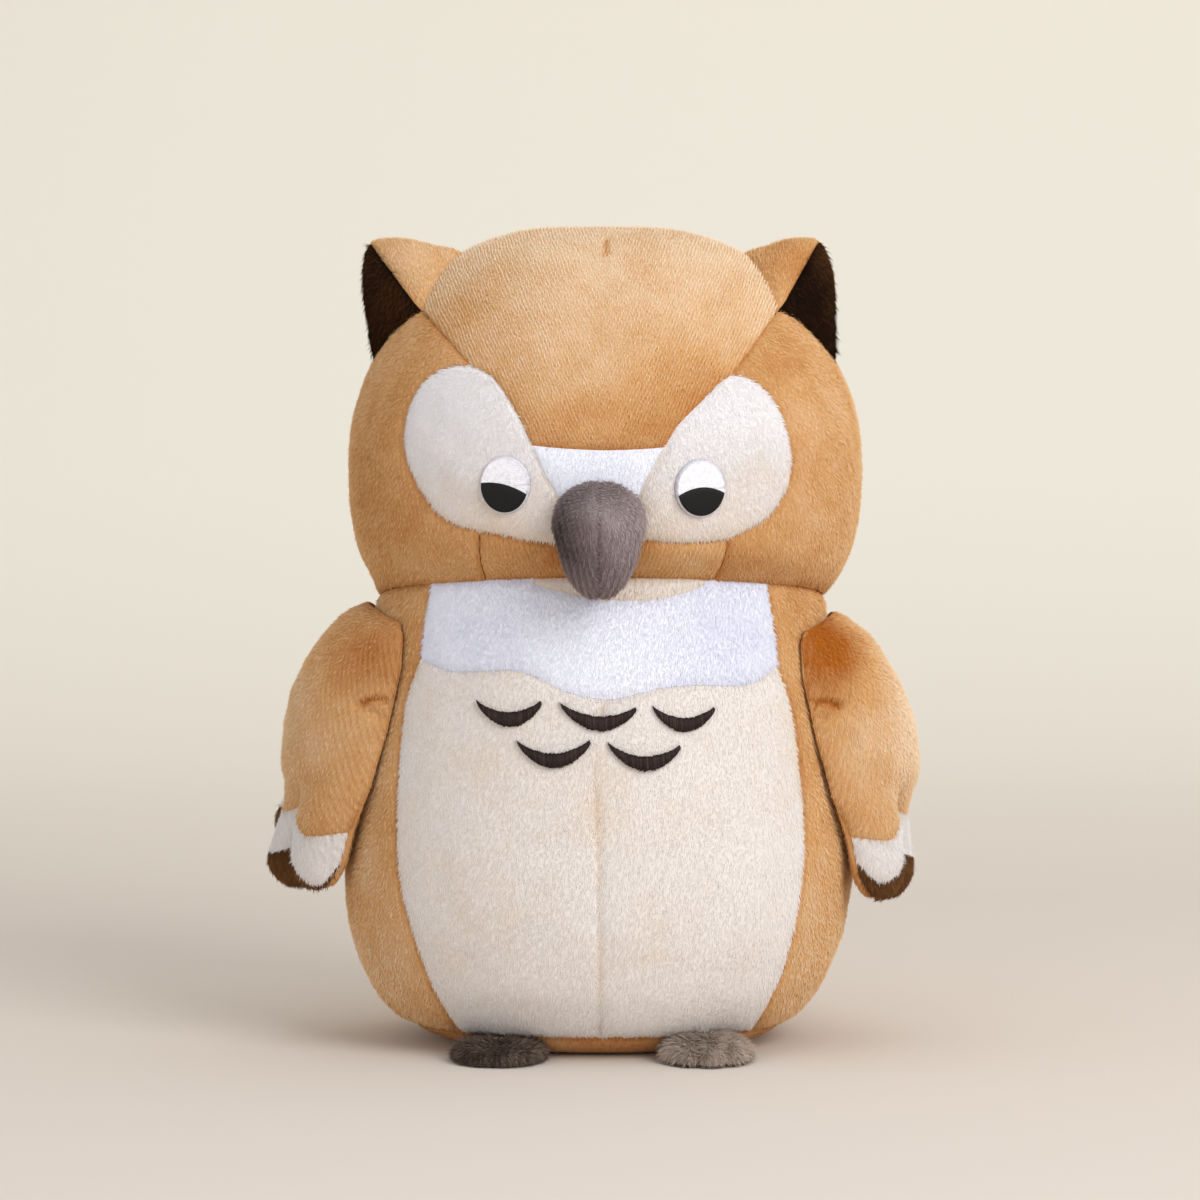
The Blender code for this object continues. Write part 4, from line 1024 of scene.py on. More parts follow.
rings = [ring_at(z, -math.pi, math.pi, 150) for z in (BASE_SEAM, 4.9, 3.4, 2.1, 1.0, 0.4)]
rings += [rings[-1] * (share, share, 0) for share in (0.96, 0.88, 0.76, 0.60, 0.42, 0.24, 0.08)]
sew("base_plush", np.array(rings), caramel, "caramel_plush", "base_panel", heart=BODY_HEART, edges=("bottom",),
    nap=(0, -0.4, 1), strands=0.8, width=0.4, length=1.3, lumps=0.0, seed=80, lean=14, tone=-0.18,
    weight=base_cover)

# %% [markdown]
# ## Ears
# Each ear is a stuffed four-sided point on the side of the crown: a dark front panel and a caramel
# cover for the other three sides. A loop of base corners shrinks to the tip, and each face swells
# in between. The tip is blunt, because cloth can't be turned to a needle point.

# %% Ears
EARS = {
    "right": {"tip": (-77.0, -3.0, 265.6), "corner": (420, 311), "others": ((-45.5, -5.0, 262.6),
              (-76.0, -8.0, 224.5), (-59.5, 30.2, 246.0)), "tones": (0.10, 0.16, 0.20)},
    "left": {"tip": (72.6, -3.0, 266.4), "corner": (780, 311), "others": ((47.0, -5.0, 262.0),
             (78.6, -8.0, 223.5), (60.5, 30.2, 246.0)), "tones": (0.42, -0.05, -0.26)},
}
for ear in EARS.values():
    ear["corners"] = np.insert(np.array(ear["others"]), 1, seen_on(HEAD, [ear["corner"]])[0], axis=0)
    ear["tip"] = np.array(ear["tip"])


def ear_surface(corners, tip, start, stop, columns, bulge):
    """Rows from base to tip: base point plus its share of the way to the tip, plus a swelling of
    sine of the share, strongest in the middle of each face. The base loop is read between two
    corner numbers, and its side to the forehead lies on the head."""
    places = np.linspace(start, stop, columns)
    first = np.floor(places).astype(int)
    part = (places - first)[:, None]
    loop = corners[first % 4] * (1 - part) + corners[(first + 1) % 4] * part
    inner = first % 4 == 0
    loop[inner, 0] -= np.sign(tip[0]) * 2.5 * np.sin(math.pi * part[inner, 0])
    loop[inner] = onto(HEAD, loop[inner], HEAD_HEART)
    centre = corners.mean(axis=0)
    axis = unit(tip - centre)
    out = loop - centre
    out = unit(out - np.outer(out @ axis, axis))
    shares = np.concatenate([np.linspace(0, 0.9, 24), [0.94, 0.97, 0.985, 1.0]])[:, None]
    face = 0.35 + 0.65 * np.sin(math.pi * part[:, 0]) ** 0.8
    swell = np.sin(math.pi * shares) ** 0.75 * face * bulge
    points = tip + (loop - tip) * (1 - shares)[..., None] + out * swell[..., None]
    rise = eased(np.clip((shares - 0.25) / 0.55, 0, 1))
    blunt = rise * np.sqrt(1 - np.clip((shares - 0.8) / 0.2, 0, 1) ** 2)
    points += out * (1.6 * blunt)[..., None]
    rootwards = unit(HEAD_HEART - loop)
    points += rootwards * (1.5 * np.clip(1 - shares / 0.10, 0, 1))[..., None]
    return np.concatenate([[points[0] + rootwards * 5, points[0] + rootwards * 2], points])


for side, sign in SIDES:
    corners, tip = EARS[side]["corners"], EARS[side]["tip"]
    tip_tone, edge_tone, cover_tone = EARS[side]["tones"]
    shared = dict(heart=corners.mean(axis=0) * 0.7 + tip * 0.3, edges=("left", "right"), lumps=0.4,
                  thickness=1.0, seam_depth=0.8, settle=0.4)
    sew(f"{side}_ear_front_plush", ear_surface(corners, tip, 1, 2, 26, 5.0), brown, "brown_plush",
        f"{side}_ear_front", nap=(sign * 0.5, -0.2, -1), length=1.6, strands=3.6, spill=0.3, seed=90 + sign,
        tone=glow([(tip - (0, 0, 7), 10, tip_tone), ((sign * 72, -22, 246), 16, edge_tone)]), ragged=0.3, **shared)
    sew(f"{side}_ear_cover_plush", ear_surface(corners, tip, 2, 5, 66, 4.0), caramel, "caramel_plush",
        f"{side}_ear_cover", nap=(sign * 0.2, 0.3, 1), length=1.3, strands=2.9, seed=95 + sign,
        tone=glow([((sign * 62, -12, 255), 12, cover_tone)]), ragged=0.25, **shared)

# %% [markdown]
# ## Beak
# A grey egg of two panels, sewn together down the front, hangs over the chin. Its rows are widest
# above the middle. The seam is a soft groove with the nap of both halves turned towards it.

# %% Beak
BEAK_ROWS = ((150.4, 0.0, 0.0), (150.9, 3.4, 5.2), (152.6, 6.0, 8.8), (156.0, 8.9, 12.6), (161.0, 11.4, 16.0),
             (167.0, 13.1, 18.4), (173.0, 14.7, 19.5), (178.5, 14.4, 18.4), (183.0, 12.1, 15.0), (186.2, 7.8, 10.2),
             (187.9, 3.4, 5.0), (188.2, 0.0, 0.0))
BEAK_CENTRE = np.array((-0.6, -76.5, 0.0))
BEAK_MIDDLE = 169


def beak_half(first, last, columns=40):
    """Rows of half an egg round the beak's axis: across the half width times sine, forward the half
    depth times cosine."""
    table = np.maximum(evenly(smooth_run(BEAK_ROWS), 44), 0)
    turns = np.linspace(first, last, columns)
    x = table[:, 1:2] * np.sin(turns)
    y = -table[:, 2:3] * np.cos(turns)
    return np.stack([x, y, table[:, :1] + 0 * x], -1) + BEAK_CENTRE


def to_beak_seam(points):
    """Nap of the beak: down, and turned towards the front seam close to it."""
    across = points[:, 0] - BEAK_CENTRE[0]
    turn = 0.12 + 1.1 * np.exp(-np.abs(across) / 1.8) * (points[:, 1] < BEAK_CENTRE[1])
    return np.stack([-turn * np.sign(across), 0 * across, -1 + 0 * across], -1)


# Painted shade and light: the beak is darker on the toy's right, and lighter on its left and upper front, as the
# light falls.
beak_light_and_shade = glow([((-14, -84, 170), 13, -0.46), ((9, -92, 172), 11, 0.24), ((-1, -94, 181), 7, 0.20)])
for side, first, last, seed in (("right", -math.pi, 0.0, 101), ("left", 0.0, math.pi, 102)):
    sew(f"beak_{side}_plush", beak_half(first, last), grey, "grey_plush", f"beak_{side}_panel",
        heart=BEAK_CENTRE + (0, 0, BEAK_MIDDLE), edges=("left", "right"), lumps=0.35, settle=0.5, seam_depth=0.7,
        length=1.3, strands=4.2, width=0.32, thickness=1.0, seed=seed, ragged=0.35, lean=32, nap=to_beak_seam,
        tone=beak_light_and_shade)

# %% [markdown]
# ## Eyes
# A white felt disc with its edge bound in thread, and black satin stitch over the lower half up to a
# slanted lid line. The disc sits in the pile on its own small frame: across, up and out of the face.

# %% Thread and felt


def stitched(name, dark, light, stripe_scale, roughness):
    """Satin stitch: a tone attribute that changes from thread to thread picks the colour, with a fine
    noise for the breaks in the light. On the threads the lighter tones are painted sheen."""
    material, tree, shader = new_material(name)
    grain = object_noise(tree, stripe_scale)
    both = node(tree, "ShaderNodeMath", {0: attribute(tree, "tone"), 1: grain}, 0, operation="MULTIPLY")
    colour = ramp_of(tree, both, ((0.05, linear(dark)), (0.55, linear(light))))
    finished(tree, shader, colour, grain, (roughness - 0.12, roughness + 0.12), 0.3, 0.0001, Specular_IOR_Level=0.2)
    return material


# The light end of each thread's colours is painted sheen on the satin stitch.
black_thread = stitched("black_satin_thread", (6, 6, 6), (26, 25, 25), 2500, 0.50)
brown_thread = stitched("brown_satin_thread", (30, 17, 15), (96, 68, 64), 2200, 0.48)
felt = stitched("white_felt_weave", (206, 204, 214), (246, 246, 252), 900, 0.85)


def frame_on(form, pixel):
    """Centre, across, up and out of the surface at a pixel, from three nearby pixels."""
    here, beside, above = seen_on(form, [pixel, (pixel[0] + 6, pixel[1]), (pixel[0], pixel[1] - 6)])
    out = unit(np.cross(beside - here, above - here))
    up = unit(np.array((0.0, 0.0, 1.0)) - out * out[2])
    return here, np.cross(up, out), up, out


def raised(place, x, y, height):
    """Points over a frame: x across, y up and the height out."""
    here, across, up, out = place
    return here + x[..., None] * across + y[..., None] * up + height[..., None] * out


def layered(name, grid, material, slot, node_name, tone, thickness, out):
    """A thin closed layer under a grid: the grid on top, a copy straight below it, and walls."""
    rows, columns, _ = grid.shape
    points = np.vstack([grid.reshape(-1, 3), (grid - out * thickness).reshape(-1, 3)])
    piece = mesh_from(name, points, shell_faces(rows, columns), material)
    give_values(piece.data, "tone", np.tile(tone.ravel(), 2))
    belongs(piece, "root", slot, node_name)
    print(f"{name}: {rows} x {columns} points")


# %% Eye discs and pupils
EYE_RADIUS = 8.2
EYE_STRETCH = 1.12
WEAVE, THREAD_WIDTH = 0.70, 0.36
LIDS = {"right": ((505, 485), (-0.025, -0.239, 0.25)), "left": ((700.5, 488.5), (-0.039, 0.067, 0.42))}
for side, (pixel, lid_line) in LIDS.items():
    place = frame_on(HEAD, pixel)
    turns = np.linspace(0, -2 * math.pi, 97)
    shares = np.concatenate([np.linspace(0.02, 0.90, 22), [0.94, 0.97, 0.99, 1.0]])[:, None]
    x, y = shares * EYE_RADIUS * np.cos(turns), shares * EYE_RADIUS * np.sin(turns) * EYE_STRETCH
    wave = np.sin(2 * math.pi * y / WEAVE)
    bound = 0.15 * np.exp(-((shares - 0.95) / 0.035) ** 2)
    drop = 1.1 * np.clip((shares - 0.93) / 0.07, 0, 1) ** 2
    height = 0.85 + 0.35 * (1 - shares ** 2) + 0.05 * wave * (shares < 0.9) + bound - drop
    tone = 0.85 + 0.25 * wave - 0.55 * (shares > 0.935)
    layered(f"{side}_eye_felt", raised(place, x, y, height), felt, "white_felt", f"{side}_eye_disc", tone, 0.9,
            place[-1])

    columns, rows = 161, 22
    x = np.linspace(-1, 1, columns)[None, :] * EYE_RADIUS * 0.93 + np.zeros((rows, 1))
    reach = np.sqrt(np.clip((EYE_RADIUS * 0.95) ** 2 - x ** 2, 0.01, None)) * EYE_STRETCH
    lid = np.clip(np.polyval(lid_line, x), -reach, reach)
    share = np.linspace(0, 1, rows)[:, None]
    y = lid * (1 - share) - reach * share
    threads = 0.5 + 0.5 * np.cos(2 * math.pi * x / THREAD_WIDTH)
    edge = np.minimum(share, 1 - share) * (reach + lid)
    height = 1.00 + 0.35 * (1 - (x ** 2 + y ** 2) / EYE_RADIUS ** 2) + 0.08 * threads
    height = height + 0.35 * (1 - np.exp(-edge / 0.5))
    # Painted sheen: the pupil's tone is lighter along the middle of each thread.
    layered(f"{side}_pupil_stitch", raised(place, x, y, height)[::-1], black_thread, "black_thread",
            f"{side}_pupil", 0.55 + 0.45 * threads, 0.5, place[-1])

# %% [markdown]
# ## Crescents
# Five crescents are embroidered on the belly in dark brown satin stitch. Threads run from the upper
# to the lower edge, side by side, so each crescent is a grid along its arc with one ridge per thread.
# The ends of the threads make its edges slightly rough.

# %% Crescents
CRESCENTS = (
    ((477, 700), (541, 701), 25.5, 12.0), ((560, 702), (636, 707), 25.5, 12.0), ((653, 706), (714, 707), 24.5, 11.5),
    ((517, 740), (590, 740), 27.0, 13.5), ((608, 742), (680, 745), 26.5, 13.0),
)
THREAD_POINTS = 4
chance = np.random.default_rng(5)
for number, (start, stop, sag, hollow) in enumerate(CRESCENTS, start=1):
    columns, rows = (stop[0] - start[0]) * THREAD_POINTS + 1, 12
    along = np.linspace(0, 1, columns)
    strand = np.arange(columns) // THREAD_POINTS
    rough, rough_low = (chance.normal(size=strand.max() + 1)[strand] * size for size in (0.4, 0.5))
    bow = np.sin(math.pi * along)
    px, rim_y = (start[k] + (stop[k] - start[k]) * along for k in (0, 1))
    upper = rim_y + hollow * bow ** 0.80 + rough * bow ** 0.5
    lower = rim_y + sag * bow ** 0.72 + rough_low * bow ** 0.5 + 1.0 + 1.8 * (1 - bow)
    share = np.linspace(0, 1, rows)[:, None]
    pixels = np.stack([px + 1.2 * (share - 0.5), upper * (1 - share) + lower * share], -1)
    flat = seen_on(BODY, pixels.reshape(-1, 2)).reshape(rows, columns, 3)
    out = unit(grid_normals(flat).mean(axis=(0, 1)))
    out = -out if out[1] > 0 else out
    threads = 0.5 - 0.5 * np.cos(2 * math.pi * (np.arange(columns) % THREAD_POINTS) / THREAD_POINTS)
    dome = np.sin(math.pi * share) ** 0.5
    wide = np.clip((lower - upper) / 12, 0.1, 1)
    height = 0.75 + 0.65 * dome * wide + 0.12 * threads
    grid = (flat + out * height[..., None])[::-1]
    # Painted sheen: threads catch it at random, most along their middles and towards the middle of the crescent,
    # broken by speckles.
    painted_sheen = chance.random(strand.max() + 1)[strand]
    speckle = 0.55 + 0.9 * chance.random((rows, columns)) ** 2
    tone = (0.10 + 0.95 * threads * painted_sheen ** 2) * (0.6 + 0.4 * dome) * speckle
    layered(f"crescent_stitch_{number}", grid, brown_thread, "brown_thread", f"crescent_{number}", tone, 1.2, out)

# %% [markdown]
# ## Wings
# A wing is a flat cushion sewn from an outer panel and a lining, closed along its edge, hanging from
# the shoulder. Towards its end it parts into three stuffed feathers, each with a white band and a dark
# brown tip. One function gives any point of the outer or the inner sheet from a place across the wing
# and a drop below the shoulder, so all the panels of a wing share their seams.

# %% Shape of a wing
WINGS = {
    "right": {"sign": -1, "top": 146.3, "fold": 30.0, "tones": (-0.32, 0.16),
              "caramel": (((0, 75.0), (0.2, 76.5), (0.35, 76.0), (0.5, 72.5), (0.75, 69.5), (1, 67.5)),
                          ((0, 67.5), (0.3, 70.5), (0.5, 70.5), (0.75, 67.5), (1, 61.0)),
                          ((0, 60.0), (0.3, 57.0), (0.5, 56.5), (0.75, 54.5), (1, 51.0))),
              "white": (((0, 86.3), (0.12, 91.2), (0.24, 93.4), (0.36, 92.6), (0.5, 87.0), (0.7, 80.5),
                         (1, 75.5)),
                        ((0, 80.0), (0.3, 84.2), (0.5, 84.4), (0.7, 82.5), (1, 74.0)),
                        ((0, 68.0), (0.3, 71.0), (0.5, 71.0), (0.75, 68.0), (1, 62.0))),
              "end": (((0, 86.8), (0.12, 91.8), (0.28, 94.2), (0.5, 94.4), (0.7, 92.0), (0.88, 87.0), (1, 81.0)),
                      ((0, 82.0), (0.15, 90.5), (0.35, 95.6), (0.5, 96.6), (0.65, 95.4), (0.85, 89.5), (1, 80.0)),
                      ((0, 78.0), (0.15, 83.0), (0.35, 86.0), (0.5, 86.5), (0.7, 84.0), (0.88, 79.0), (1, 71.0))),
              "full": ((0, 0), (0.6, 3.4), (2.0, 7.0), (4.6, 10.8), (9.6, 15.2), (14.6, 19.0), (19.6, 21.9),
                       (24.6, 23.7), (29.6, 25.2), (39.6, 26.1), (49.6, 25.4), (59.6, 24.8), (69.6, 25.6),
                       (79.6, 26.2), (98, 26.5))},
    "left": {"sign": 1, "top": 143.4, "fold": 28.0, "tones": (-0.72, 0.36),
             "caramel": (((0, 73.5), (0.2, 75.0), (0.35, 74.5), (0.5, 70.5), (0.75, 68.0), (1, 66.0)),
                         ((0, 66.0), (0.3, 68.5), (0.5, 68.5), (0.75, 66.0), (1, 61.0)),
                         ((0, 61.0), (0.3, 60.5), (0.5, 60.0), (0.75, 57.0), (1, 52.0))),
             "white": (((0, 82.5), (0.08, 86.6), (0.18, 89.2), (0.3, 88.6), (0.42, 85.2), (0.52, 81.0), (0.75, 77.5),
                        (1, 74.0)),
                       ((0, 77.0), (0.3, 82.4), (0.5, 82.8), (0.7, 80.5), (1, 73.0)),
                       ((0, 70.0), (0.3, 72.5), (0.5, 72.5), (0.75, 69.0), (1, 63.0))),
             "end": (((0, 86.5), (0.12, 91.2), (0.3, 94.6), (0.5, 95.3), (0.7, 92.6), (0.88, 87.5), (1, 82.0)),
                     ((0, 82.0), (0.15, 91.0), (0.35, 96.4), (0.5, 97.2), (0.65, 95.8), (0.85, 89.5), (1, 80.0)),
                     ((0, 80.0), (0.15, 84.0), (0.35, 86.5), (0.5, 87.0), (0.7, 84.5), (0.88, 79.0), (1, 72.0))),
             "full": ((0, 0), (0.6, 3.0), (2.0, 6.0), (6.9, 12.6), (11.9, 16.5), (16.9, 19.2), (21.9, 21.8),
                      (26.9, 23.2), (36.9, 24.6), (46.9, 24.4), (56.9, 23.2), (66.9, 20.9), (76.9, 20.2),
                      (98, 20.6))},
}
FRONT_EDGE = ((0, 33.0), (8, 38.5), (20, 40.6), (45, 39.6), (62, 38.0), (76, 34.0), (88, 31.0), (98, 29.5))
REAR_EDGE = ((0, 31.0), (8, 35.0), (20, 36.0), (45, 35.2), (62, 33.0), (76, 30.0), (98, 26.0))
STAND_OFF = ((0, 0.9), (40, 0.9), (60, 1.1), (80, 1.4), (98, 2.0))
LINING_ROUND = ((0, 0.3), (40, 0.4), (58, 1.4), (74, 4.6), (98, 5.4))
FEATHER_SIZES = {"right": ((0.74, 0.76, 1.12), (0.66, 1.02, 1.06)),
                 "left": ((0.86, 0.84, 1.08), (0.90, 1.02, 0.95))}


def table_at(table, places):
    """A small table of pairs read with straight lines between them."""
    return np.interp(places, *np.transpose(table))


def feather_of(across):
    """Number of the feather, from the front, and the angle's share round it from 0 to 1."""
    number = np.minimum(np.floor(3 * across), 2).astype(int)
    return number, 3 * across - number


def feather_level(tables, across):
    """A line over the three feathers: each has its own smooth table of angle and drop."""
    number, share = feather_of(across)
    return np.choose(number, [table_at(smooth_run(table), share) for table in tables])


def wing_top(across):
    """The shoulder's line: level in the middle, dropping at the front and more at the back."""
    fall = np.cos(math.pi * across)
    return np.where(fall > 0, 4.5, 13.0) * np.abs(fall) ** 2.5


def wing_sheet(side, across, drop, outer):
    """Points of a wing. Going across is going round half a turn, so the place between the front and
    rear edges is half of one less the cosine, and the thickness is the sine. High up one half turn spans
    the wing, low down each feather has its own, and its closed end leans out by a third of its width.
    The lining bulges towards the body in the same way."""
    wing = WINGS[side]
    number, share = feather_of(across)
    part, z = eased(np.clip((drop - 50) / 24, 0, 1)), wing["top"] - drop
    whole = (1 - np.cos(math.pi * across)) / 2
    parted = (number + (1 - np.cos(math.pi * share)) / 2) / 3
    place = whole * (1 - part) + parted * part
    y = -table_at(FRONT_EDGE, drop) * (1 - place) + table_at(REAR_EDGE, drop) * place
    wide, deep = half_sizes(BODY, wing["sign"] + 0 * z, z)
    stand_off, bulge = table_at(STAND_OFF, drop), table_at(LINING_ROUND, drop)
    under_top = np.maximum(drop - wing_top(across) * np.clip(1 - drop / 45, 0, 1), 0)
    left = np.clip((feather_level(wing["end"], across) - drop) / 12.5, 0, 1)
    close = np.sqrt(np.clip(1 - (1 - left) ** 2, 0, 1))
    arch = np.sin(math.pi * across).clip(0, 1) ** 0.75
    whole_share = (0.55 - 0.45 * np.clip((drop - 66) / 16, 0, 1)) * arch
    lobe = whole_share + (1 - whole_share) * np.sin(math.pi * share).clip(0, 1) ** 0.8
    upper, lower = (np.array(sizes)[number] for sizes in FEATHER_SIZES[side])
    size = upper + (lower - upper) * np.clip((drop - 60) / 28, 0, 1)
    full = np.maximum(table_at(wing["full"], under_top) - stand_off - bulge, 0)
    swell = full * ((1 - part) * arch + part * lobe * size)
    x = flank(wide, np.minimum(np.abs(y / deep), 0.97)) + stand_off + bulge + 0.32 * part * swell * (1 - close)
    if outer:
        x = x + swell * close
    else:
        x = x - bulge * ((1 - part) * arch + part * lobe) * close * np.sqrt(np.clip(under_top / 6, 0, 1))
    return np.stack([wing["sign"] * x, y, z], -1)


def wing_patch(side, first, last, upper, lower, spacing=1.5, outer=True):
    """A grid between two places across the wing and two lines of drop, each a function of place."""
    columns = max(9, int(round((last - first) * (150 if outer else 90) / spacing)) + 1)
    across = np.clip(np.linspace(first, last, columns), first + 1e-6, last - 1e-6)
    high, low = upper(across), lower(across)
    rows = max(6, int(round((low - high).max() * 1.15 / spacing)) + 1)
    share = np.linspace(0, 1, rows)[:, None]
    drop = high * (1 - share) + low * share
    return wing_sheet(side, np.broadcast_to(across, drop.shape), drop, outer)


# %% Wing panels
for side, wing in WINGS.items():
    sign = wing["sign"]
    shared = dict(body=f"{side}_wing", heart=np.array((sign * 89.0, 0.0, 95.0)), nap=(sign * 0.1, 0, -1),
                  thickness=1.0, seam_depth=0.7, settle=0.4)
    caramel_end, white_end, feather_end = (partial(feather_level, wing[key]) for key in ("caramel", "white", "end"))
    # The last number of each crease is the shade painted along its fold.
    fold = wing_sheet(side, np.linspace(0.0, 0.10, 16), wing["fold"] + 1.5 * np.linspace(-1, 1, 16) ** 2, True)
    second = wing_sheet(side, np.linspace(0.03, 0.11, 12), wing["fold"] + np.linspace(5, 2, 12), True)
    shoulder_tone, outer_tone = wing["tones"]
    sew(f"{side}_wing_plush", wing_patch(side, 0.0, 1.0, wing_top, caramel_end), caramel, "caramel_plush",
        f"{side}_wing_outer_panel", creases=[(fold, 1.4, 1.1, 0.38), (second, 1.0, 1.8, 0.05)], strands=2.8,
        seed=110 + sign, lumps=0.9, length=1.4,
        tone=glow([((sign * 74, -30, 130), 15, shoulder_tone), ((sign * 84, -32, 106), 12, 0.10),
                   ((sign * 76, -34, 95), 12, -0.06), ((sign * 102, -10, 104), 30, outer_tone)]), **shared)
    sew(f"{side}_wing_lining_plush", wing_patch(side, 0.0, 1.0, wing_top, feather_end, 1.7, outer=False), caramel,
        "caramel_plush", f"{side}_wing_lining_panel", strands=0.9, seed=120 + sign, length=1.0, lean=20, lumps=0.1,
        hold=5.0, tone=-0.10, **shared)
    for number in (1, 2, 3):
        first, last = (number - 1) / 3, number / 3
        sew(f"{side}_white_band_{number}", wing_patch(side, first, last, caramel_end, white_end, 1.1), band_white,
            "white_plush", f"{side}_wing_white_band_{number}", strands=3.6, length=1.2,
            seed=130 + sign + 3 * number, lumps=0.2, spill=0.2, **shared)
        sew(f"{side}_brown_tip_{number}", wing_patch(side, first, last, white_end, feather_end, 1.1), tips,
            "tip_plush", f"{side}_wing_brown_tip_{number}", strands=3.6, length=1.5,
            seed=140 + sign + 3 * number, lumps=0.2, spill=0.2, ragged=0.3, **shared)

# %% [markdown]
# ## Feet
# Two flat ovals of long grey pile stick out from under the belly. The upper is a low dome with
# grooves between the toes, and the sole is flat. The long strands are uneven, so the feet look shaggy.

# %% Feet
# Each foot's tone paints shade on the right foot and light on the left one, as the light falls.
FEET = {"right": {"centre": (-32.9, -52.0), "half": (15.6, 18.2), "height": 8.0, "toes": ((-2.0, 0.9),),
                  "tone": -0.34},
        "left": {"centre": (34.0, -52.5), "half": (15.4, 18.7), "height": 9.2, "toes": ((-3.0, 2.0), (6.3, 1.7)),
                 "tone": 0.30}}
SOLE_LEVEL, UNDER_SOLE = 0.9, 0.5


def foot_dome(foot, low, high, rows, columns=64):
    """Rings over a flattened dome: radius the cosine of the climb to a small power, height its sine.
    A groove between two toes is a narrow bell curve that grows towards the front."""
    turns = np.linspace(0, 2 * math.pi, columns)
    climb = np.linspace(low, high, rows)[:, None]
    radius = np.cos(climb) ** 0.75
    x = foot["half"][0] * radius * np.sin(turns)
    y = -foot["half"][1] * radius * np.cos(turns)
    z = SOLE_LEVEL + (foot["height"] - SOLE_LEVEL) * np.sin(climb) ** 0.8 + 0 * x
    front = np.clip(-y / 12, 0, 1)
    for place, depth in foot["toes"]:
        fall = np.exp(-((x - place) / 1.7) ** 2) * front
        z = z - depth * fall * np.sin(climb)
        y = y + depth * fall * np.cos(climb)
    return np.stack([x + foot["centre"][0], y + foot["centre"][1], z], -1)


def foot_nap(centre, points):
    """Nap of a foot: away from its centre and down."""
    return np.column_stack([0.9 * (points[:, :2] - centre) / 15, -0.8 + 0 * points[:, 0]])


def foot_light_and_shade(level, points):
    """The foot's level, painted shade on the toy's right foot and painted light on its left one, with small spots of
    tone.
    """
    return level + 0.16 * mottle(points, 4, 61)


for side, foot in FEET.items():
    centre = np.array(foot["centre"])
    heart = np.array((*centre, 4.0))
    shared = dict(heart=heart, edges=("bottom",))
    sew(f"{side}_foot_plush", foot_dome(foot, 0.0, 1.5, 16), foot_grey, "grey_plush", f"{side}_foot_upper",
        length=1.9, width=0.36, lean=34, strands=4.6, ragged=0.5, thickness=0.8, lumps=0.6, settle=0.8,
        seam_depth=0.2, seed=150, nap=partial(foot_nap, centre), tone=partial(foot_light_and_shade, foot["tone"]), **shared)
    ring = foot_dome(foot, 0.0, 0.1, 2)[0]
    inner_rings = [np.column_stack([centre + (ring[:, :2] - centre) * share, np.full(len(ring), UNDER_SOLE)])
                   for share in (0.9, 0.7, 0.5, 0.3, 0.1)]
    sole = np.array([ring * (1, 1, 0) + (0, 0, SOLE_LEVEL)] + inner_rings)
    sew(f"{side}_sole_plush", sole, foot_grey, "grey_plush", f"{side}_foot_sole", length=0.8, lean=10, strands=0.6,
        nap=(0, -1, 0), thickness=0.5, lumps=0, settle=0, seam_depth=0, seed=155, tone=-0.30, **shared)

# %% [markdown]
# ## Filling
# Under the cloth is fibre filling. It isn't seen, but it is a real piece, so each stuffed form gets a
# closed lump a few millimetres inside its panels.

# %% Filling material and lumps
fibre, tree, shader = new_material("fibre_filling_wool")
wool = object_noise(tree, 300, 6)
wool_colour = ramp_of(tree, wool, ((0.3, linear((205, 203, 198))), (0.7, linear((246, 245, 240)))))
wool_bump = node(tree, "ShaderNodeBump", {"Height": wool, "Distance": 0.001}, "Normal")
wire(tree, shader, {"Base Color": wool_colour, "Normal": wool_bump, "Roughness": 0.95})


def lump(name, rings, node_name, body="root"):
    """Rings from low to high, closed by one point at each end."""
    rows, columns, _ = rings.shape
    index = np.arange(rows * columns).reshape(rows, columns)
    beside = np.roll(index, -1, axis=1)
    quads = np.stack([index[:-1], beside[:-1], beside[1:], index[1:]], -1).reshape(-1, 4)
    foot, crown = rows * columns, rows * columns + 1
    ends = np.vstack([np.stack([beside[0], index[0], np.full(columns, foot)], -1),
                      np.stack([index[-1], beside[-1], np.full(columns, crown)], -1)])
    points = np.vstack([rings.reshape(-1, 3), rings[[0, -1]].mean(axis=1)])
    belongs(mesh_from(name, points, (quads, ends), fibre), body, "fibre_filling", node_name, fill=0.8)
    print(f"{name}: {len(points)} points")


def shrunk(points, centre, share):
    """Points moved towards a centre."""
    return centre + (points - centre) * share


turns = np.linspace(-math.pi, math.pi, 48, endpoint=False)
for name, form, low, high in (("head", HEAD, 170, 262), ("body", BODY, 4.0, 139)):
    rings = np.array([around(form, turns, np.full(len(turns), z)) for z in np.linspace(low, high, 30)])
    radius = np.linalg.norm(rings[..., :2], axis=-1, keepdims=True)
    rings[..., :2] *= 1 - 5.0 / np.maximum(radius, 9)
    lump(f"{name}_filling", rings, f"{name}_stuffing")
rings = np.array([np.column_stack([wide * np.sin(turns), -deep * np.cos(turns), z + 0 * turns])
                  for z, wide, deep in evenly(smooth_run(BEAK_ROWS), 16)[2:-2]])
lump("beak_filling", shrunk(rings, (0, 0, BEAK_MIDDLE), (0.78, 0.78, 0.84)) + BEAK_CENTRE, "beak_stuffing")
for side, ear in EARS.items():
    corners, tip = ear["corners"], ear["tip"]
    loop = shrunk(evenly(np.vstack([corners, corners[:1]]), 25)[:-1], corners.mean(axis=0), 0.78)
    order = loop if side == "right" else loop[::-1]
    rings = np.array([order + (tip - order) * share for share in np.linspace(0.02, 0.86, 8)])
    lump(f"{side}_ear_filling", rings, f"{side}_ear_stuffing")
across = np.linspace(0.12, 0.88, 25)
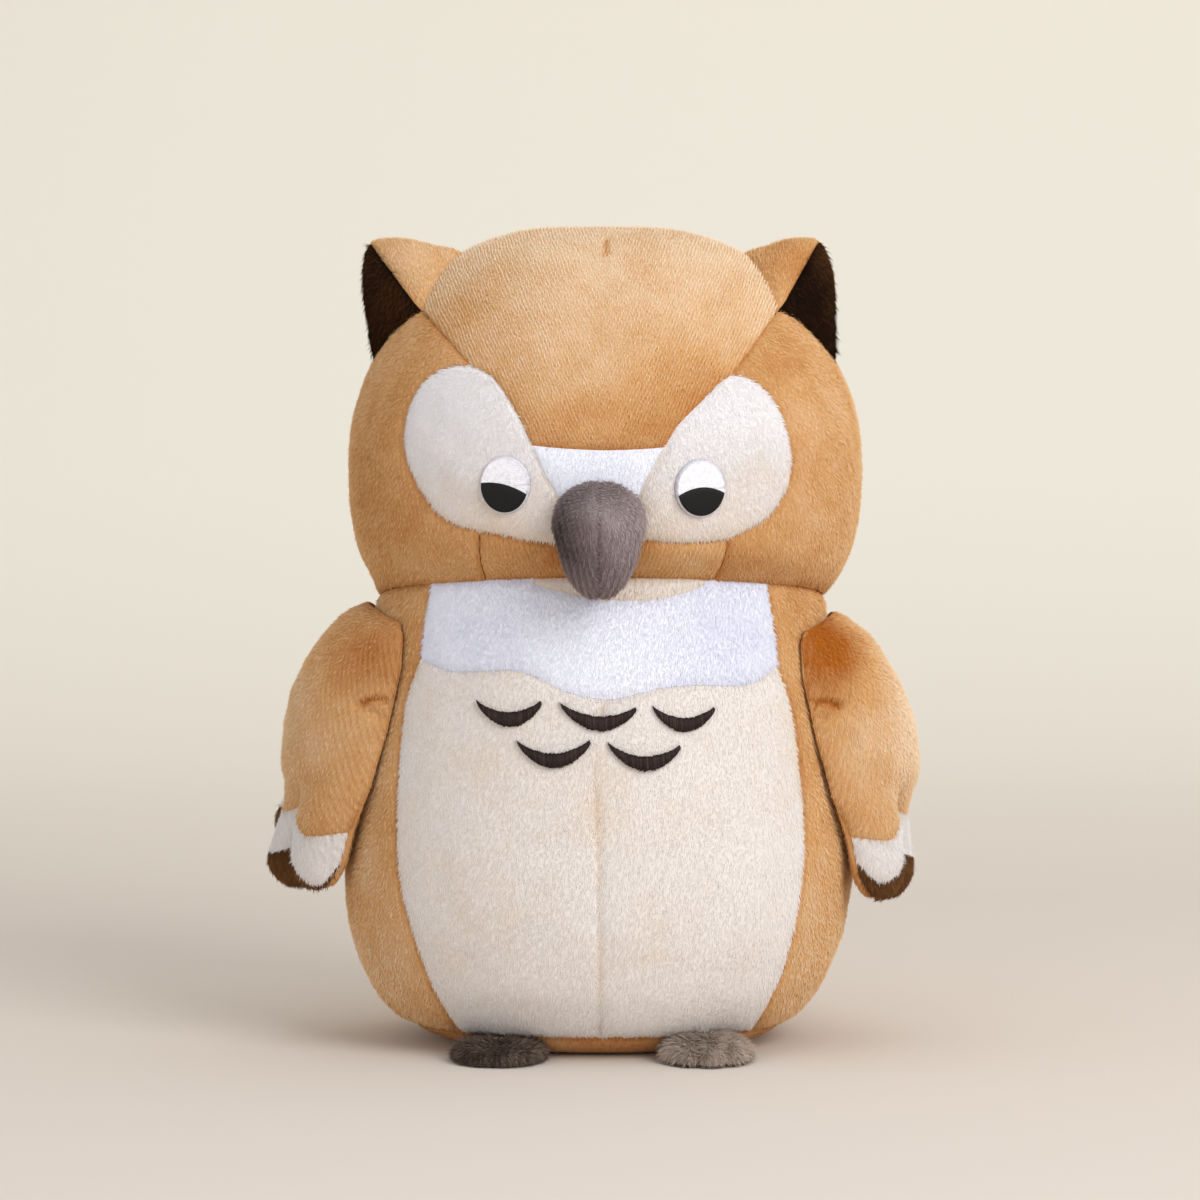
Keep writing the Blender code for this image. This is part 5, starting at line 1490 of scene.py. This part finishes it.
for side, sign in SIDES:
    rings = []
    for drop in np.linspace(74, 16, 18):
        outer, inner = (wing_sheet(side, across, np.full(len(across), drop), face) for face in (True, False))
        ring = np.vstack([outer, inner[::-1]])
        rings.append(shrunk(ring, ring.mean(0), (0.82, 0.90, 1.0)))
    lump(f"{side}_wing_filling", np.array(rings)[:, ::sign], f"{side}_wing_stuffing", f"{side}_wing")
for side, foot in FEET.items():
    rings = shrunk(foot_dome(foot, 0.05, 1.45, 8, 33)[:, :-1], np.array((*foot["centre"], 3.5)), 0.80)
    lump(f"{side}_foot_filling", rings, f"{side}_foot_stuffing")

# %% [markdown]
# ## Floor, backdrop and light
# The toy stands on a pale sheet that curves up behind it. A large soft light comes from the right and
# the front, a weaker one from the left, and the room's own light fills the shadows.

# %% Stage
paper, tree, shader = new_material("pale_paper")
split = node(tree, "ShaderNodeSeparateXYZ", {"Vector": node(tree, "ShaderNodeTexCoord", {}, "Object")}, "Y")
# Painted light: the paper is darker on the floor and paler where it rises behind the toy, as the light falls on the
# sweep.
far_share = node(tree, "ShaderNodeMapRange", {"Value": split, "From Min": 0.4, "From Max": 1.3}, "Result")
paper_colour_and_light = ramp_of(tree, far_share, ((0.0, linear((223, 213, 203))), (1.0, linear((249, 244, 231)))))
wire(tree, shader, {"Base Color": paper_colour_and_light, "Roughness": 0.9})

bend = np.linspace(0, math.pi / 2, 40)
curve = np.column_stack([900 + 600 * np.sin(bend), 600 - 600 * np.cos(bend)])
profile = np.vstack([[(-2500.0, 0.0)], curve, [(1500.0, 3500.0)]])
sheet = np.array([[(x, y, z) for x in (-3500.0, 3500.0)] for y, z in profile])
index = np.arange(2 * len(profile)).reshape(-1, 2)
quads = np.stack([index[:-1, 0], index[:-1, 1], index[1:, 1], index[1:, 0]], -1)
backdrop = mesh_from("backdrop", sheet.reshape(-1, 3), (quads,), paper)


def soft_light(name, place, aim, size, power, colour):
    """A square area light at a place, turned to face its aim."""
    light = bpy.data.lights.new(name, "AREA")
    light.size, light.energy, light.color = size, power, colour
    lamp = bpy.data.objects.new(name, light)
    bpy.context.collection.objects.link(lamp)
    lamp.location = place
    out = unit(np.array(place) - np.array(aim))
    lamp.rotation_euler = (math.acos(out[2]), 0, math.atan2(out[1], out[0]) + math.pi / 2)


soft_light("key_light", (1.05, -1.35, 1.05), (0, 0, 0.12), 1.1, 21.5, (1.0, 0.99, 0.985))
soft_light("fill_light", (-0.6, -1.7, 0.25), (0, 0, 0.06), 1.0, 5.4, (1.0, 0.985, 0.97))
soft_light("top_light", (0.2, 0.1, 1.8), (0, 0, 0.1), 1.4, 4, (1.0, 0.99, 0.98))
world = bpy.data.worlds.new("room")
world.use_nodes = True
wire(world.node_tree, world.node_tree.nodes["Background"], {"Color": (0.97, 0.98, 1.0, 1), "Strength": 0.58})
bpy.context.scene.world = world
bpy.context.scene.view_settings.view_transform = "Standard"
meshes = [thing.data for thing in bpy.data.objects if thing.type == "MESH"]
triangles = sum(len(mesh.loops) - 2 * len(mesh.polygons) for mesh in meshes)
print("strands in all:", sum(all_strands), "triangles:", triangles)
